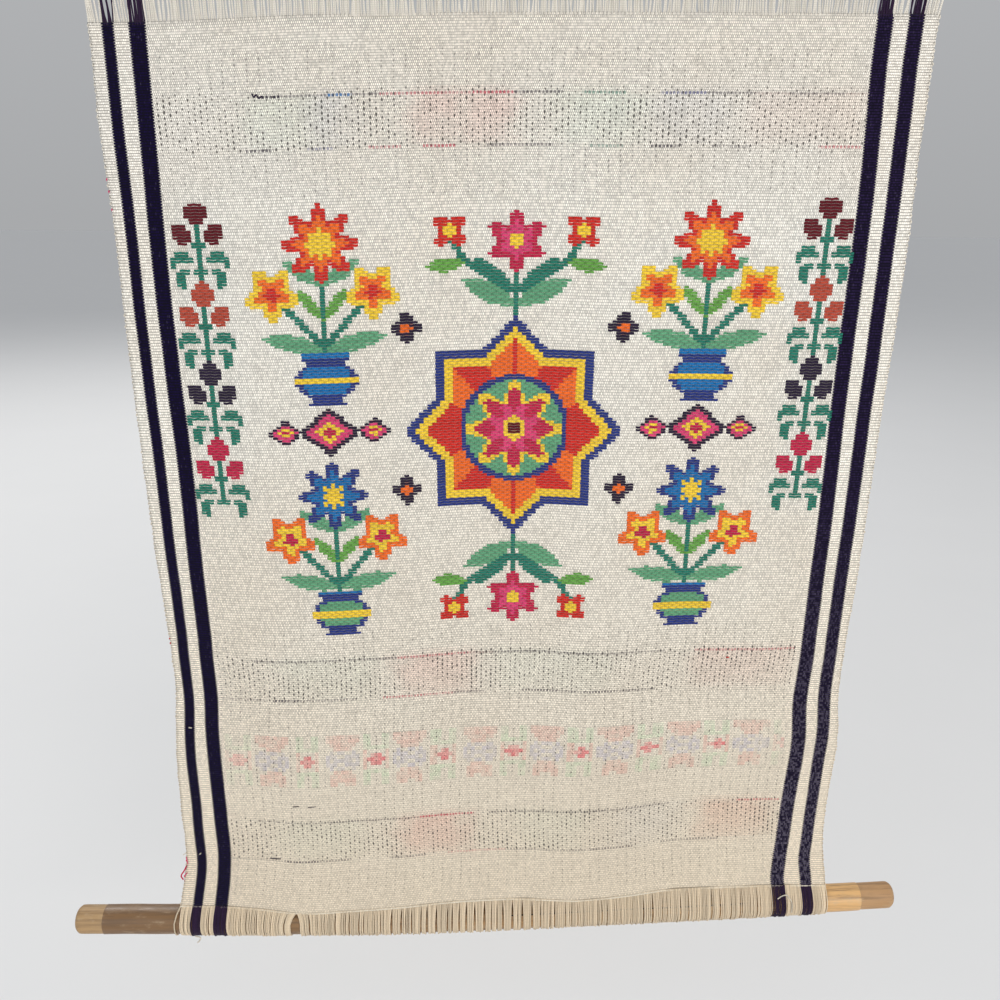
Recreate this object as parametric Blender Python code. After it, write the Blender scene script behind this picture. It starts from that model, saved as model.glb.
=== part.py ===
"""A handwoven wall hanging with a rod in its lower loops.

One striped web hangs almost flat. Its warp runs on past the weave at both ends: as free ends
at the top, and at the foot as loops that close round a natural wooden rod. The cloth's face
looks towards -Y and the wall is on the +Y side. The origin is at the middle of the top edge.
Metres, +Z up.
"""

import math
import random

import bmesh
import bpy
import numpy as np

# The web
CLOTH_THICKNESS = 0.0012
CLOTH_ROWS = 36
CENTRE_COLUMNS = 22
TOP_FELL = -0.028  # mean height of the woven top edge
SEAM_GAP = 0.0003  # between the web and each strip that roots the warp

# Outline of the web, from the top down: height, left selvedge, right selvedge
SELVEDGES = (
    (-0.028, -0.2305, 0.2310),
    (-0.090, -0.2302, 0.2296),
    (-0.130, -0.2282, 0.2296),
    (-0.200, -0.2268, 0.2280),
    (-0.270, -0.2248, 0.2257),
    (-0.345, -0.2224, 0.2241),
    (-0.400, -0.2198, 0.2220),
    (-0.430, -0.2186, 0.2202),
    (-0.462, -0.2214, 0.2226),
    (-0.524, -0.2223, 0.2212),
    (-0.556, -0.2220, 0.2230),
    (-0.600, -0.2298, 0.2300),
)

# Top edge: place across, rise above the mean
TOP_EDGE = (
    (-0.230, -0.0052),
    (-0.200, -0.0044),
    (-0.117, -0.0002),
    (-0.009, 0.0026),
    (0.100, 0.0039),
    (0.230, 0.0044),
)

# Lower edge of the weave: place across, height, how far it stands forward over the rod
FOOT_EDGE = (
    (-0.231, -0.5999, 0.0000),
    (-0.195, -0.6013, 0.0002),
    (-0.171, -0.6033, 0.0008),
    (-0.146, -0.6058, 0.0020),
    (-0.118, -0.6050, 0.0014),
    (-0.075, -0.6020, 0.0008),
    (-0.019, -0.5968, 0.0000),
    (0.010, -0.5962, 0.0000),
    (0.053, -0.5978, 0.0006),
    (0.081, -0.5952, 0.0000),
    (0.109, -0.5904, 0.0000),
    (0.138, -0.5885, 0.0000),
    (0.195, -0.5869, 0.0000),
    (0.230, -0.5872, 0.0000),
)

# Dark warp stripes, measured in from their selvedge:
# side, near border at the top and at the foot, far border at the top and at the foot
STRIPES = (
    (-1, 0.0070, 0.0070, 0.0129, 0.0132),
    (-1, 0.0215, 0.0214, 0.0300, 0.0300),
    (1, 0.0080, 0.0080, 0.0160, 0.0156),
    (1, 0.0250, 0.0240, 0.0334, 0.0332),
)

# Soft folds of the hanging web: place across, height, half width, half height, depth forward
FOLDS = (
    (-0.232, -0.395, 0.045, 0.060, -0.0022),
    (0.230, -0.390, 0.050, 0.042, -0.0026),
    (0.232, -0.470, 0.040, 0.040, 0.0018),
    (0.226, -0.550, 0.035, 0.035, -0.0014),
    (-0.226, -0.540, 0.030, 0.045, 0.0012),
    (-0.060, -0.330, 0.120, 0.200, 0.0016),
    (0.120, -0.250, 0.090, 0.210, -0.0014),
    (-0.160, -0.130, 0.080, 0.100, -0.0010),
)
SWELL_HEIGHT = 0.035  # how far up the web its swell over the rod fades out

# Warp outside the weave
STRIP_HEIGHT = 0.0020
STRIP_THICKNESS = 0.0012
LOCK_THICKNESS = 0.0008
LOCKS_IN_BAND = (2, 1, 2, 2, 48, 2, 2, 1, 2)  # margin, stripe, gap, stripe, centre and back
BAND_IS_DARK = (False, True, False, True, False, True, False, True, False)
LOCK_FILL = (0.66, 0.84)  # part of its pitch that a lock takes, least and most
LOCK_PLACE = (0.35, 0.65)  # part of the rest that lies on its left, least and most
TOP_LOCK_STEPS = 2
TOP_LOCK_SWAY = 0.0005
TOP_LOCK_TAPER = 0.15
TOP_CUT_SLACK = 0.0015  # how far below the top edge a lock may be cut
TOP_FULL_LOCK = 7  # each lock of this count reaches the top edge
LOOP_STEPS = 10
LOOP_WANDER = 0.0007
LOOP_SPREAD = 0.012  # the loops lie this part wider on the rod than at the weave

# The rod: place along, height of its middle
ROD_LINE = (
    (-0.3045, -0.6144),
    (-0.234, -0.6149),
    (-0.150, -0.6161),
    (-0.076, -0.6160),
    (-0.004, -0.6137),
    (0.068, -0.6099),
    (0.141, -0.6064),
    (0.207, -0.6027),
    (0.2777, -0.5986),
)
ROD_BEHIND = 0.005  # how far its middle lies behind the web
ROD_SIDES = 20
ROD_RUN = 20  # rings along the part in bark
ROD_RADIUS_LEFT = 0.0101
ROD_RADIUS_RIGHT = 0.0096
BARE_RADIUS_LEFT = 0.0098
BARE_RADIUS_RIGHT = 0.0091
BARK_LEFT = -0.2850
BARK_RIGHT = 0.2534
BARK_STEP = 0.0008
END_CHAMFER = 0.0022
END_FACE_PART = 0.78  # radius left on each end face after its chamfer
ROD_CLEARANCE = 0.0003

SHARP_ANGLE = math.radians(35)

SEED = 11


def eased(table, at, column=1):
    """Value of a table's column at a place, on one smooth curve through all its rows."""
    rows = sorted(table)
    places = [row[0] for row in rows]
    values = [row[column] for row in rows]
    slopes = np.gradient(values, places)
    at = min(places[-1], max(places[0], at))
    index = min(int(np.searchsorted(places, at, side="right")) - 1, len(rows) - 2)
    span = places[index + 1] - places[index]
    part = (at - places[index]) / span
    rest = 1 - part
    return float(
        values[index] * rest * rest * (1 + 2 * part)
        + values[index + 1] * part * part * (1 + 2 * rest)
        + span * part * rest * (slopes[index] * rest - slopes[index + 1] * part)
    )


def top_height(across):
    return TOP_FELL + eased(TOP_EDGE, across)


def foot_height(across):
    return eased(FOOT_EDGE, across)


def face_depth(across, height):
    """Place along Y of the middle of the web: its soft folds, and its swell over the rod."""
    forward = 0.0
    for fold_x, fold_z, half_width, half_height, depth in FOLDS:
        away = ((across - fold_x) / half_width) ** 2 + ((height - fold_z) / half_height) ** 2
        forward += depth * math.exp(-away)
    above_foot = max(0.0, height - foot_height(across))
    forward += eased(FOOT_EDGE, across, 2) * math.exp(-((above_foot / SWELL_HEIGHT) ** 2))
    return -forward


def warp_guides(height):
    """Places across, from left to right, of the selvedges and the borders of the stripes."""
    down = (TOP_FELL - height) / (TOP_FELL - FOOT_EDGE[0][1])
    down = min(1.0, max(0.0, down))
    left = eased(SELVEDGES, height, 1)
    right = eased(SELVEDGES, height, 2)
    guides = [left, right]
    for side, near_top, near_foot, far_top, far_foot in STRIPES:
        edge = left if side < 0 else right
        for at_top, at_foot in ((near_top, near_foot), (far_top, far_foot)):
            guides.append(edge - side * (at_top + down * (at_foot - at_top)))
    return sorted(guides)


def web_columns(height, counts):
    """Places across of every column line when each band between guides has its own count."""
    guides = warp_guides(height)
    places = [guides[0]]
    for low, high, count in zip(guides, guides[1:], counts):
        places.extend(np.linspace(low, high, count + 1)[1:])
    return places


def principled(name, colour, roughness):
    material = bpy.data.materials.new(name)
    material.use_nodes = True
    shader = material.node_tree.nodes["Principled BSDF"]
    shader.inputs["Base Color"].default_value = (*colour, 1.0)
    shader.inputs["Roughness"].default_value = roughness
    shader.inputs["Metallic"].default_value = 0.0
    return material


def add_object(name, bm, materials):
    mesh = bpy.data.meshes.new(name)
    bmesh.ops.recalc_face_normals(bm, faces=bm.faces)
    bm.to_mesh(mesh)
    bm.free()
    for material in materials:
        mesh.materials.append(material)
    piece = bpy.data.objects.new(name, mesh)
    bpy.context.scene.collection.objects.link(piece)
    return piece


def make_cloth(materials):
    """The web as one sheet of even thickness, with the dark stripes as faces of their own."""
    counts = [1] * len(BAND_IS_DARK)
    counts[len(counts) // 2] = CENTRE_COLUMNS
    dark = [is_dark for is_dark, count in zip(BAND_IS_DARK, counts) for _ in range(count)]
    foot_rise = SEAM_GAP + STRIP_HEIGHT
    columns = sum(counts) + 1
    nominal = web_columns(TOP_FELL, counts)

    bm = bmesh.new()
    grid = []
    for row in range(CLOTH_ROWS + 1):
        down = row / CLOTH_ROWS
        line = []
        for column in range(columns):
            top = top_height(nominal[column])
            foot = foot_height(nominal[column]) + foot_rise
            height = top + down * (foot - top)
            across = web_columns(height, counts)[column]
            line.append(bm.verts.new((across, face_depth(across, height), height)))
        grid.append(line)
    for upper, lower in zip(grid, grid[1:]):
        for column in range(columns - 1):
            corners = (upper[column], upper[column + 1], lower[column + 1], lower[column])
            bm.faces.new(corners).material_index = int(dark[column])
    cloth = add_object("cloth", bm, materials)
    solidify = cloth.modifiers.new("Thickness", "SOLIDIFY")
    solidify.thickness = CLOTH_THICKNESS
    solidify.offset = 0.0
    solidify.use_even_offset = True
    return cloth


def lock_columns(height, rng):
    """Left and right side, and colour, of each lock of warp across the web."""
    places = web_columns(height, LOCKS_IN_BAND)
    dark = [is_dark for is_dark, count in zip(BAND_IS_DARK, LOCKS_IN_BAND) for _ in range(count)]
    locks = []
    for low, high, is_dark in zip(places, places[1:], dark):
        pitch = high - low
        width = pitch * rng.uniform(*LOCK_FILL)
        left = low + (pitch - width) * rng.uniform(*LOCK_PLACE)
        locks.append((left, left + width, is_dark))
    return places[0], places[-1], locks


def strip_section(bm, across, low, high):
    """Four corners of the strip: front low, front high, back high, back low."""
    depth = face_depth(across, low)
    half = STRIP_THICKNESS / 2
    return [
        bm.verts.new((across, depth - half, low)),
        bm.verts.new((across, depth - half, high)),
        bm.verts.new((across, depth + half, high)),
        bm.verts.new((across, depth + half, low)),
    ]


def make_strip(bm, left, right, locks, base):
    """The narrow strip that roots the locks. Returns its sections at each lock's two sides.

    The faces that a lock grows from are left out, so that the lock's skin closes them.
    """
    places = [left] + [side for lock in locks for side in lock[:2]] + [right]
    sections = []
    for across in places:
        low, high = base(across)
        sections.append(strip_section(bm, across, low, high))
    bm.faces.new(sections[0])
    bm.faces.new(sections[-1])
    return sections


def strip_faces(bm, first, second, sides, material_index):
    """Faces of the strip between two sections; a side is the pair of corners that it joins."""
    for low, high in sides:
        face = bm.faces.new((first[low], first[high], second[high], second[low]))
        face.material_index = material_index


FRONT, TOP, BACK, FOOT = (0, 1), (1, 2), (2, 3), (3, 0)


def skin_rings(bm, rings, material_index):
    """Quads between each ring of corners and the next."""
    for ring, following in zip(rings, rings[1:]):
        for corner in range(len(ring)):
            other = (corner + 1) % len(ring)
            corners = (ring[corner], ring[other], following[other], following[corner])
            bm.faces.new(corners).material_index = material_index


def make_top_warp_ends(materials):
    """Free ends of the warp above the weave, cut level, rooted in a strip."""
    rng = random.Random(SEED)
    bm = bmesh.new()

    def base(across):
        low = top_height(across) + SEAM_GAP
        return low, low + STRIP_HEIGHT

    left, right, locks = lock_columns(TOP_FELL, rng)
    sections = make_strip(bm, left, right, locks, base)
    for index in range(len(sections) - 1):
        is_lock = index % 2 == 1
        sides = (FRONT, BACK, FOOT) if is_lock else (FRONT, BACK, FOOT, TOP)
        shade = int(locks[index // 2][2]) if is_lock else 0
        strip_faces(bm, sections[index], sections[index + 1], sides, shade)
    for index, (lock_left, lock_right, is_dark) in enumerate(locks):
        first, second = sections[2 * index + 1], sections[2 * index + 2]
        root_height = first[1].co.z
        rings = [[first[1], second[1], second[2], first[2]]]
        middle, half_width = (lock_left + lock_right) / 2, (lock_right - lock_left) / 2
        depth = face_depth(middle, root_height)
        cut = -rng.uniform(0.0, TOP_CUT_SLACK) if index % TOP_FULL_LOCK else 0.0
        for step in range(1, TOP_LOCK_STEPS + 1):
            part = step / TOP_LOCK_STEPS
            height = root_height + part * (cut - root_height)
            sway = rng.uniform(-TOP_LOCK_SWAY, TOP_LOCK_SWAY)
            reach = half_width * (1 - TOP_LOCK_TAPER * part)
            corners = ((-reach, -0.5), (reach, -0.5), (reach, 0.5), (-reach, 0.5))
            rings.append([
                bm.verts.new((middle + sway + side, depth + out * LOCK_THICKNESS, height))
                for side, out in corners
            ])
        skin_rings(bm, rings, int(is_dark))
        bm.faces.new(rings[-1]).material_index = int(is_dark)
    return add_object("top_warp_ends", bm, materials)


def rod_radius(along):
    part = (along - BARK_LEFT) / (BARK_RIGHT - BARK_LEFT)
    return ROD_RADIUS_LEFT + min(1.0, max(0.0, part)) * (ROD_RADIUS_RIGHT - ROD_RADIUS_LEFT)


def tangent_angle(point, middle, radius, side):
    """Angle about the middle where the line from a point touches a circle, on one side of it.

    Angles are in the YZ plane, from +Y towards +Z.
    """
    out, up = point[0] - middle[0], point[1] - middle[1]
    away = math.hypot(out, up)
    return math.atan2(up, out) + side * math.acos(radius / away)


def make_bottom_warp_loops(materials):
    """Loops of warp from the foot of the weave, down over the rod's front, under and back."""
    rng = random.Random(SEED + 1)
    bm = bmesh.new()

    def base(across):
        low = foot_height(across)
        return low, low + STRIP_HEIGHT

    left, right, locks = lock_columns(FOOT_EDGE[0][1], rng)
    sections = make_strip(bm, left, right, locks, base)
    for index in range(len(sections) - 1):
        is_lock = index % 2 == 1
        sides = (FRONT, TOP) if is_lock else (FRONT, TOP, BACK, FOOT)
        shade = int(locks[index // 2][2]) if is_lock else 0
        strip_faces(bm, sections[index], sections[index + 1], sides, shade)
    for index, (lock_left, lock_right, is_dark) in enumerate(locks):
        first, second = sections[2 * index + 1], sections[2 * index + 2]
        middle_x = (lock_left + lock_right) / 2
        half_width = (lock_right - lock_left) / 2
        on_rod = middle_x * (1 + LOOP_SPREAD) + rng.uniform(-LOOP_WANDER, LOOP_WANDER)
        axis = (ROD_BEHIND, eased(ROD_LINE, on_rod))
        facet = math.pi / LOOP_STEPS
        inner = (rod_radius(on_rod) + ROD_CLEARANCE) / math.cos(facet)
        outer = inner + LOCK_THICKNESS
        root = (first[3].co.y, first[3].co.z)
        start = tangent_angle(root, axis, inner, 1)
        finish = tangent_angle(root, axis, inner, -1) + 2 * math.pi
        rings = [[first[3], second[3], second[0], first[0]]]
        for step in range(LOOP_STEPS + 1):
            angle = start + (finish - start) * step / LOOP_STEPS
            corners = (
                (-half_width, inner),
                (half_width, inner),
                (half_width, outer),
                (-half_width, outer),
            )
            rings.append([
                bm.verts.new((
                    on_rod + side,
                    axis[0] + reach * math.cos(angle),
                    axis[1] + reach * math.sin(angle),
                ))
                for side, reach in corners
            ])
        rings.append([first[3], second[3], second[2], first[2]])
        skin_rings(bm, rings, int(is_dark))
    return add_object("bottom_warp_loops", bm, materials)


def rod_rings():
    """Place along, radius and whether in bark, of each ring of the rod from left to right."""
    left, right = ROD_LINE[0][0], ROD_LINE[-1][0]
    rings = [
        (left, BARE_RADIUS_LEFT * END_FACE_PART, False),
        (left + END_CHAMFER, BARE_RADIUS_LEFT, False),
        (BARK_LEFT - BARK_STEP, BARE_RADIUS_LEFT, False),
    ]
    for along in np.linspace(BARK_LEFT, BARK_RIGHT, ROD_RUN):
        rings.append((along, rod_radius(along), True))
    rings += [
        (BARK_RIGHT + BARK_STEP, BARE_RADIUS_RIGHT, False),
        (right - END_CHAMFER, BARE_RADIUS_RIGHT, False),
        (right, BARE_RADIUS_RIGHT * END_FACE_PART, False),
    ]
    return rings


def make_rod(materials):
    """The natural stick: a slight bow and taper, bark between two bare and chamfered ends."""
    bm = bmesh.new()
    rings = []
    for along, radius, in_bark in rod_rings():
        height = eased(ROD_LINE, along)
        ring = []
        for corner in range(ROD_SIDES):
            angle = 2 * math.pi * corner / ROD_SIDES
            ring.append(bm.verts.new((
                along,
                ROD_BEHIND + radius * math.cos(angle),
                height + radius * math.sin(angle),
            )))
        rings.append((ring, in_bark))
    for (ring, in_bark), (following, next_in_bark) in zip(rings, rings[1:]):
        skin_rings(bm, [ring, following], int(in_bark and next_in_bark))
    bm.faces.new(rings[0][0])
    bm.faces.new(rings[-1][0])
    rod = add_object("rod", bm, materials)
    rod.data.shade_smooth()
    rod.data.set_sharp_from_angle(angle=SHARP_ANGLE)
    return rod


def main():
    for item in list(bpy.data.objects):
        bpy.data.objects.remove(item)
    cream = principled("cream cotton", (0.77, 0.73, 0.65), 0.9)
    dark = principled("dark purple cotton", (0.045, 0.030, 0.090), 0.85)
    bare = principled("bare wood", (0.50, 0.34, 0.20), 0.6)
    bark = principled("bark", (0.33, 0.24, 0.16), 0.65)
    make_cloth((cream, dark))
    make_top_warp_ends((cream, dark))
    make_bottom_warp_loops((cream, dark))
    make_rod((bare, bark))


main()
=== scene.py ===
"""Looks of a handwoven wall hanging: its web, brocade, loose warp and wooden rod.

The web is drawn up on a lattice of design cells. A cell is one step of the brocade across and
two of its picks down. Everything woven is placed by column and row of that lattice, so the
brocade follows the web wherever the web sags, narrows or folds.
"""

import math

import bpy
import numpy as np
from mathutils import Matrix, Vector


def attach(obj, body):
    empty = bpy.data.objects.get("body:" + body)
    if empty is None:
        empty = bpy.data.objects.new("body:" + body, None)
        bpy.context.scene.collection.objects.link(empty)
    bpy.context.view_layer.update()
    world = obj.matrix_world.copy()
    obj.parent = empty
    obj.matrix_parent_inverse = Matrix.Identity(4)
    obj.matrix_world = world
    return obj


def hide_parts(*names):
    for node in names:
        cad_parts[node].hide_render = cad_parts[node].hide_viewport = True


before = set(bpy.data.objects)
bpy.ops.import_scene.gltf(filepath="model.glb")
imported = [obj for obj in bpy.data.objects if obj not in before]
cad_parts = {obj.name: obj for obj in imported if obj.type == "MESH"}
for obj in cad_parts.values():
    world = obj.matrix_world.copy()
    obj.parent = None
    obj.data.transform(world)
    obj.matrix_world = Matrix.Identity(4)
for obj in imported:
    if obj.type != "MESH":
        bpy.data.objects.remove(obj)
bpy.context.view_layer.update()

# Camera
CAMERA_PLACE = (-0.0200, -0.5669, -0.1327)
CAMERA_PITCH = -16.47
CAMERA_YAW = -1.34
CAMERA_ROLL = -0.48
CAMERA_LENS = 34.2
CAMERA_SENSOR = 36.0

# The web, as the solids have it
TOP_FELL = -0.028
SELVEDGES = (
    (-0.028, -0.2305, 0.2310),
    (-0.090, -0.2302, 0.2296),
    (-0.130, -0.2282, 0.2296),
    (-0.200, -0.2268, 0.2280),
    (-0.270, -0.2248, 0.2257),
    (-0.345, -0.2224, 0.2241),
    (-0.400, -0.2198, 0.2220),
    (-0.430, -0.2186, 0.2202),
    (-0.462, -0.2214, 0.2226),
    (-0.524, -0.2223, 0.2212),
    (-0.556, -0.2220, 0.2230),
    (-0.600, -0.2298, 0.2300),
)
TOP_EDGE = (
    (-0.230, -0.0052),
    (-0.200, -0.0044),
    (-0.117, -0.0002),
    (-0.009, 0.0026),
    (0.100, 0.0039),
    (0.230, 0.0044),
)
FOOT_EDGE = (
    (-0.231, -0.5999, 0.0000),
    (-0.195, -0.6013, 0.0002),
    (-0.171, -0.6033, 0.0008),
    (-0.146, -0.6058, 0.0020),
    (-0.118, -0.6050, 0.0014),
    (-0.075, -0.6020, 0.0008),
    (-0.019, -0.5968, 0.0000),
    (0.010, -0.5962, 0.0000),
    (0.053, -0.5978, 0.0006),
    (0.081, -0.5952, 0.0000),
    (0.109, -0.5904, 0.0000),
    (0.138, -0.5885, 0.0000),
    (0.195, -0.5869, 0.0000),
    (0.230, -0.5872, 0.0000),
)
STRIPES = (
    (-1, 0.0070, 0.0070, 0.0129, 0.0132),
    (-1, 0.0215, 0.0214, 0.0300, 0.0300),
    (1, 0.0080, 0.0080, 0.0160, 0.0156),
    (1, 0.0250, 0.0240, 0.0334, 0.0332),
)
# Height, and how far to the right of its guides each stripe shows, from the left one on, in mm
STRIPE_DRIFT = (
    (-0.050, 0.5, 0.5, -0.5, -0.5),
    (-0.090, 0.5, 0.5, 1.0, 0.5),
    (-0.130, -0.5, -1.5, 1.0, 0.0),
    (-0.210, -0.5, -1.5, 1.0, 0.5),
    (-0.290, 0.0, -0.5, 2.5, 1.5),
    (-0.360, -1.0, -2.0, 3.0, 1.5),
    (-0.390, -1.5, -2.5, 4.0, 2.5),
    (-0.420, -2.5, -3.5, 4.5, 3.0),
    (-0.450, -1.0, -2.0, 2.5, 2.0),
    (-0.480, -0.5, -0.5, 2.5, 1.0),
    (-0.520, 0.5, 0.5, 1.5, 1.5),
    (-0.550, 0.0, 0.5, -0.5, 0.0),
    (-0.565, 1.0, 1.0, -3.0, -2.0),
    (-0.580, 1.5, 2.0, -5.5, -2.0),
    (-0.605, 2.0, 3.0, -3.5, -3.0),
)
FOLDS = (
    (-0.232, -0.395, 0.045, 0.060, -0.0022),
    (0.230, -0.390, 0.050, 0.042, -0.0026),
    (0.232, -0.470, 0.040, 0.040, 0.0018),
    (0.226, -0.550, 0.035, 0.035, -0.0014),
    (-0.226, -0.540, 0.030, 0.045, 0.0012),
    (-0.060, -0.330, 0.120, 0.200, 0.0016),
    (0.120, -0.250, 0.090, 0.210, -0.0014),
    (-0.160, -0.130, 0.080, 0.100, -0.0010),
)
SWELL_HEIGHT = 0.035

# The rod, as the solids have it
ROD_LINE = (
    (-0.3045, -0.6144),
    (-0.234, -0.6149),
    (-0.150, -0.6161),
    (-0.076, -0.6160),
    (-0.004, -0.6137),
    (0.068, -0.6099),
    (0.141, -0.6064),
    (0.207, -0.6027),
    (0.2777, -0.5986),
)
ROD_BEHIND = 0.005
ROD_RADIUS_LEFT = 0.0101
ROD_RADIUS_RIGHT = 0.0096
BARE_RADIUS_LEFT = 0.0098
BARE_RADIUS_RIGHT = 0.0091
BARK_LEFT = -0.2850
BARK_RIGHT = 0.2534
BARK_STEP = 0.0008
END_CHAMFER = 0.0022
END_FACE_PART = 0.78

# Lattice: columns of each band between the guides, and the flat place of some rows in mm
COLUMNS_IN_BAND = (3, 4, 3, 4, 153, 4, 3, 4, 3)
CENTRE_CELLS = COLUMNS_IN_BAND[4]
FIRST_CELL = sum(COLUMNS_IN_BAND[:4])
COLUMNS = sum(COLUMNS_IN_BAND)
ROW_PLACES = ((0, 0.0), (131, 432.0), (144, 470.5), (174, 571.2))
ROWS = ROW_PLACES[-1][0]
RIGHT_SAG = ((0.0, 0.0), (0.175, 0.003), (0.43, 0.007), (0.66, 0.006), (0.76, 0.004), (0.83, 0.0))
SAG_REACH = 0.170
WEB_THICKNESS = 0.0009

# Picks and warp pairs of the ground weave
GROUND_PICKS = 2.0  # to a row
# Where there are more picks: first row, past-last row, and how many more to a row
EXTRA_PICKS = (
    (0.0, 12.2, 0.40),
    (12.2, 20.3, 0.19),
    (20.3, 28.0, 0.36),
    (114.5, 123.0, 0.25),
    (152.3, 161.4, 0.17),
)
WARP_PAIRS = 2.42  # to a column
HOLE_PITCH = 2.57  # columns between the thin places of the warp
REPEAT_HOLE_PITCH = 2.306  # the same where the small repeat is woven

# Brocade
FLOAT_HEIGHT = 0.00036
FLOAT_WIDTH = 0.46  # of a row
FLOAT_WAVE = 0.060  # of a row
FLOAT_OVERHANG = 0.18  # of a cell, past the cells that a float covers
TIE_DEPTH = 0.00024

# Warp outside the weave
YARNS_IN_BAND = (8, 8, 9, 12, 400, 12, 10, 9, 10)
YARN_RADIUS = 0.00050
LOOP_RADIUS = 0.00047

YARN_COLOURS = {
    "R": (0.560, 0.022, 0.016),
    "O": (0.800, 0.140, 0.018),
    "Y": (0.820, 0.560, 0.040),
    "G": (0.110, 0.330, 0.180),
    "L": (0.120, 0.330, 0.060),
    "T": (0.016, 0.170, 0.120),
    "B": (0.008, 0.140, 0.380),
    "N": (0.020, 0.036, 0.190),
    "C": (0.480, 0.014, 0.060),
    "P": (0.640, 0.050, 0.160),
    "M": (0.110, 0.007, 0.014),
    "K": (0.020, 0.012, 0.034),
    "S": (0.420, 0.060, 0.034),
    "W": (0.620, 0.570, 0.480),
}
# Colours of the stripes on the tops of their ribs, where they catch the light; the ground paints them near
# black between the ribs, as painted shade
STRIPE_LEFT = (0.0070, 0.0026, 0.0405)
STRIPE_RIGHT = (0.0225, 0.0120, 0.0580)
SPRIG_GROUND = (0.980, 1.005, 1.030)  # tint of the ground round the sprigs, from the yarns behind it


# Shared shape of the web


def eased(table, at, column=1):
    """Value of a table's column at places, on one smooth curve through all its rows."""
    rows = sorted(table)
    places = np.array([row[0] for row in rows])
    values = np.array([row[column] for row in rows])
    slopes = np.gradient(values, places)
    at = np.clip(at, places[0], places[-1])
    index = np.clip(np.searchsorted(places, at, side="right") - 1, 0, len(rows) - 2)
    span = places[index + 1] - places[index]
    part = (at - places[index]) / span
    rest = 1 - part
    return (
        values[index] * rest * rest * (1 + 2 * part)
        + values[index + 1] * part * part * (1 + 2 * rest)
        + span * part * rest * (slopes[index] * rest - slopes[index + 1] * part)
    )


def smooth_step(low, high, at):
    part = np.clip((at - low) / (high - low), 0.0, 1.0)
    return part * part * (3 - 2 * part)


def face_depth(across, height):
    """Place along Y of the middle of the web."""
    forward = np.zeros(np.broadcast(across, height).shape)
    for fold_x, fold_z, half_width, half_height, depth in FOLDS:
        away = ((across - fold_x) / half_width) ** 2 + ((height - fold_z) / half_height) ** 2
        forward = forward + depth * np.exp(-away)
    above_foot = np.maximum(0.0, height - eased(FOOT_EDGE, across))
    forward = forward + eased(FOOT_EDGE, across, 2) * np.exp(-((above_foot / SWELL_HEIGHT) ** 2))
    return -forward


def warp_guides(height):
    """Places across, from left to right, of the selvedges and the borders of the stripes."""
    down = np.clip((TOP_FELL - height) / (TOP_FELL - FOOT_EDGE[0][1]), 0.0, 1.0)
    left = eased(SELVEDGES, height, 1)
    right = eased(SELVEDGES, height, 2)
    on_left, on_right = [left], [right]
    for side, near_top, near_foot, far_top, far_foot in STRIPES:
        borders = on_left if side < 0 else on_right
        edge = left if side < 0 else right
        for at_top, at_foot in ((near_top, near_foot), (far_top, far_foot)):
            borders.append(edge - side * (at_top + down * (at_foot - at_top)))
    return np.stack(on_left + on_right[::-1])


def stripe_borders(height):
    """The same guides with the stripes' borders where they show, for colour alone."""
    guides = warp_guides(height)
    for stripe in range(len(STRIPES)):
        guides[2 * stripe + 1:2 * stripe + 3] += eased(STRIPE_DRIFT, height, stripe + 1) / 1000
    return guides


def band_shares(counts):
    """Band and share of the way through it, for every column line."""
    bands, shares = [0], [0.0]
    for band, count in enumerate(counts):
        bands += [band] * count
        shares += [(step + 1) / count for step in range(count)]
    return np.array(bands), np.array(shares)


def row_part(row):
    rows, flat = zip(*ROW_PLACES)
    return np.interp(row, rows, flat) / flat[-1]


def lie_of_web(part, counts):
    """Place of each column line at each part of the way down: arrays across, along Y and up."""
    bands, shares = band_shares(counts)
    part = np.asarray(part, float)[:, None]
    bands = np.broadcast_to(bands[None], (len(part), len(bands)))
    across = np.full(bands.shape, 0.0)
    height = TOP_FELL + part * (FOOT_EDGE[0][1] - TOP_FELL) + across
    for _ in range(5):
        guides = warp_guides(height)
        low = np.take_along_axis(guides, bands[None], 0)[0]
        high = np.take_along_axis(guides, bands[None] + 1, 0)[0]
        across = low + shares * (high - low)
        top = TOP_FELL + eased(TOP_EDGE, across)
        foot = eased(FOOT_EDGE, across)
        sag = np.interp(part, *zip(*RIGHT_SAG)) * smooth_step(0.0, SAG_REACH, across)
        height = top + part * (foot - top) - sag
    return across, face_depth(across, height), height


def soft_waves(places, pitch, count, seed):
    """A sum of sines of random direction and phase, between about -1 and 1."""
    rng = np.random.default_rng(seed)
    total = np.zeros(places[0].shape)
    for _ in range(count):
        turn = rng.uniform(0, math.pi)
        length = pitch * rng.uniform(0.7, 1.6)
        run = places[0] * math.cos(turn) + places[1] * math.sin(turn)
        total = total + np.sin(2 * math.pi * run / length + rng.uniform(0, 2 * math.pi))
    return total / math.sqrt(count)


def make_lattice():
    across, depth, height = lie_of_web(row_part(np.arange(ROWS + 1)), COLUMNS_IN_BAND)
    depth = depth + 0.00028 * soft_waves((across, height), 0.060, 9, 3)
    depth = depth + 0.00010 * soft_waves((across, height), 0.018, 9, 4)
    rng = np.random.default_rng(5)
    for edge, side in ((0, -1), (COLUMNS, 1)):
        scallop = rng.uniform(-0.00035, 0.00030, ROWS + 1)
        scallop[1:-1] = (scallop[:-2] + 2 * scallop[1:-1] + scallop[2:]) / 3
        across[:, edge] += side * scallop
    return np.stack([across, depth, height], -1)


lattice = make_lattice()


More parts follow.
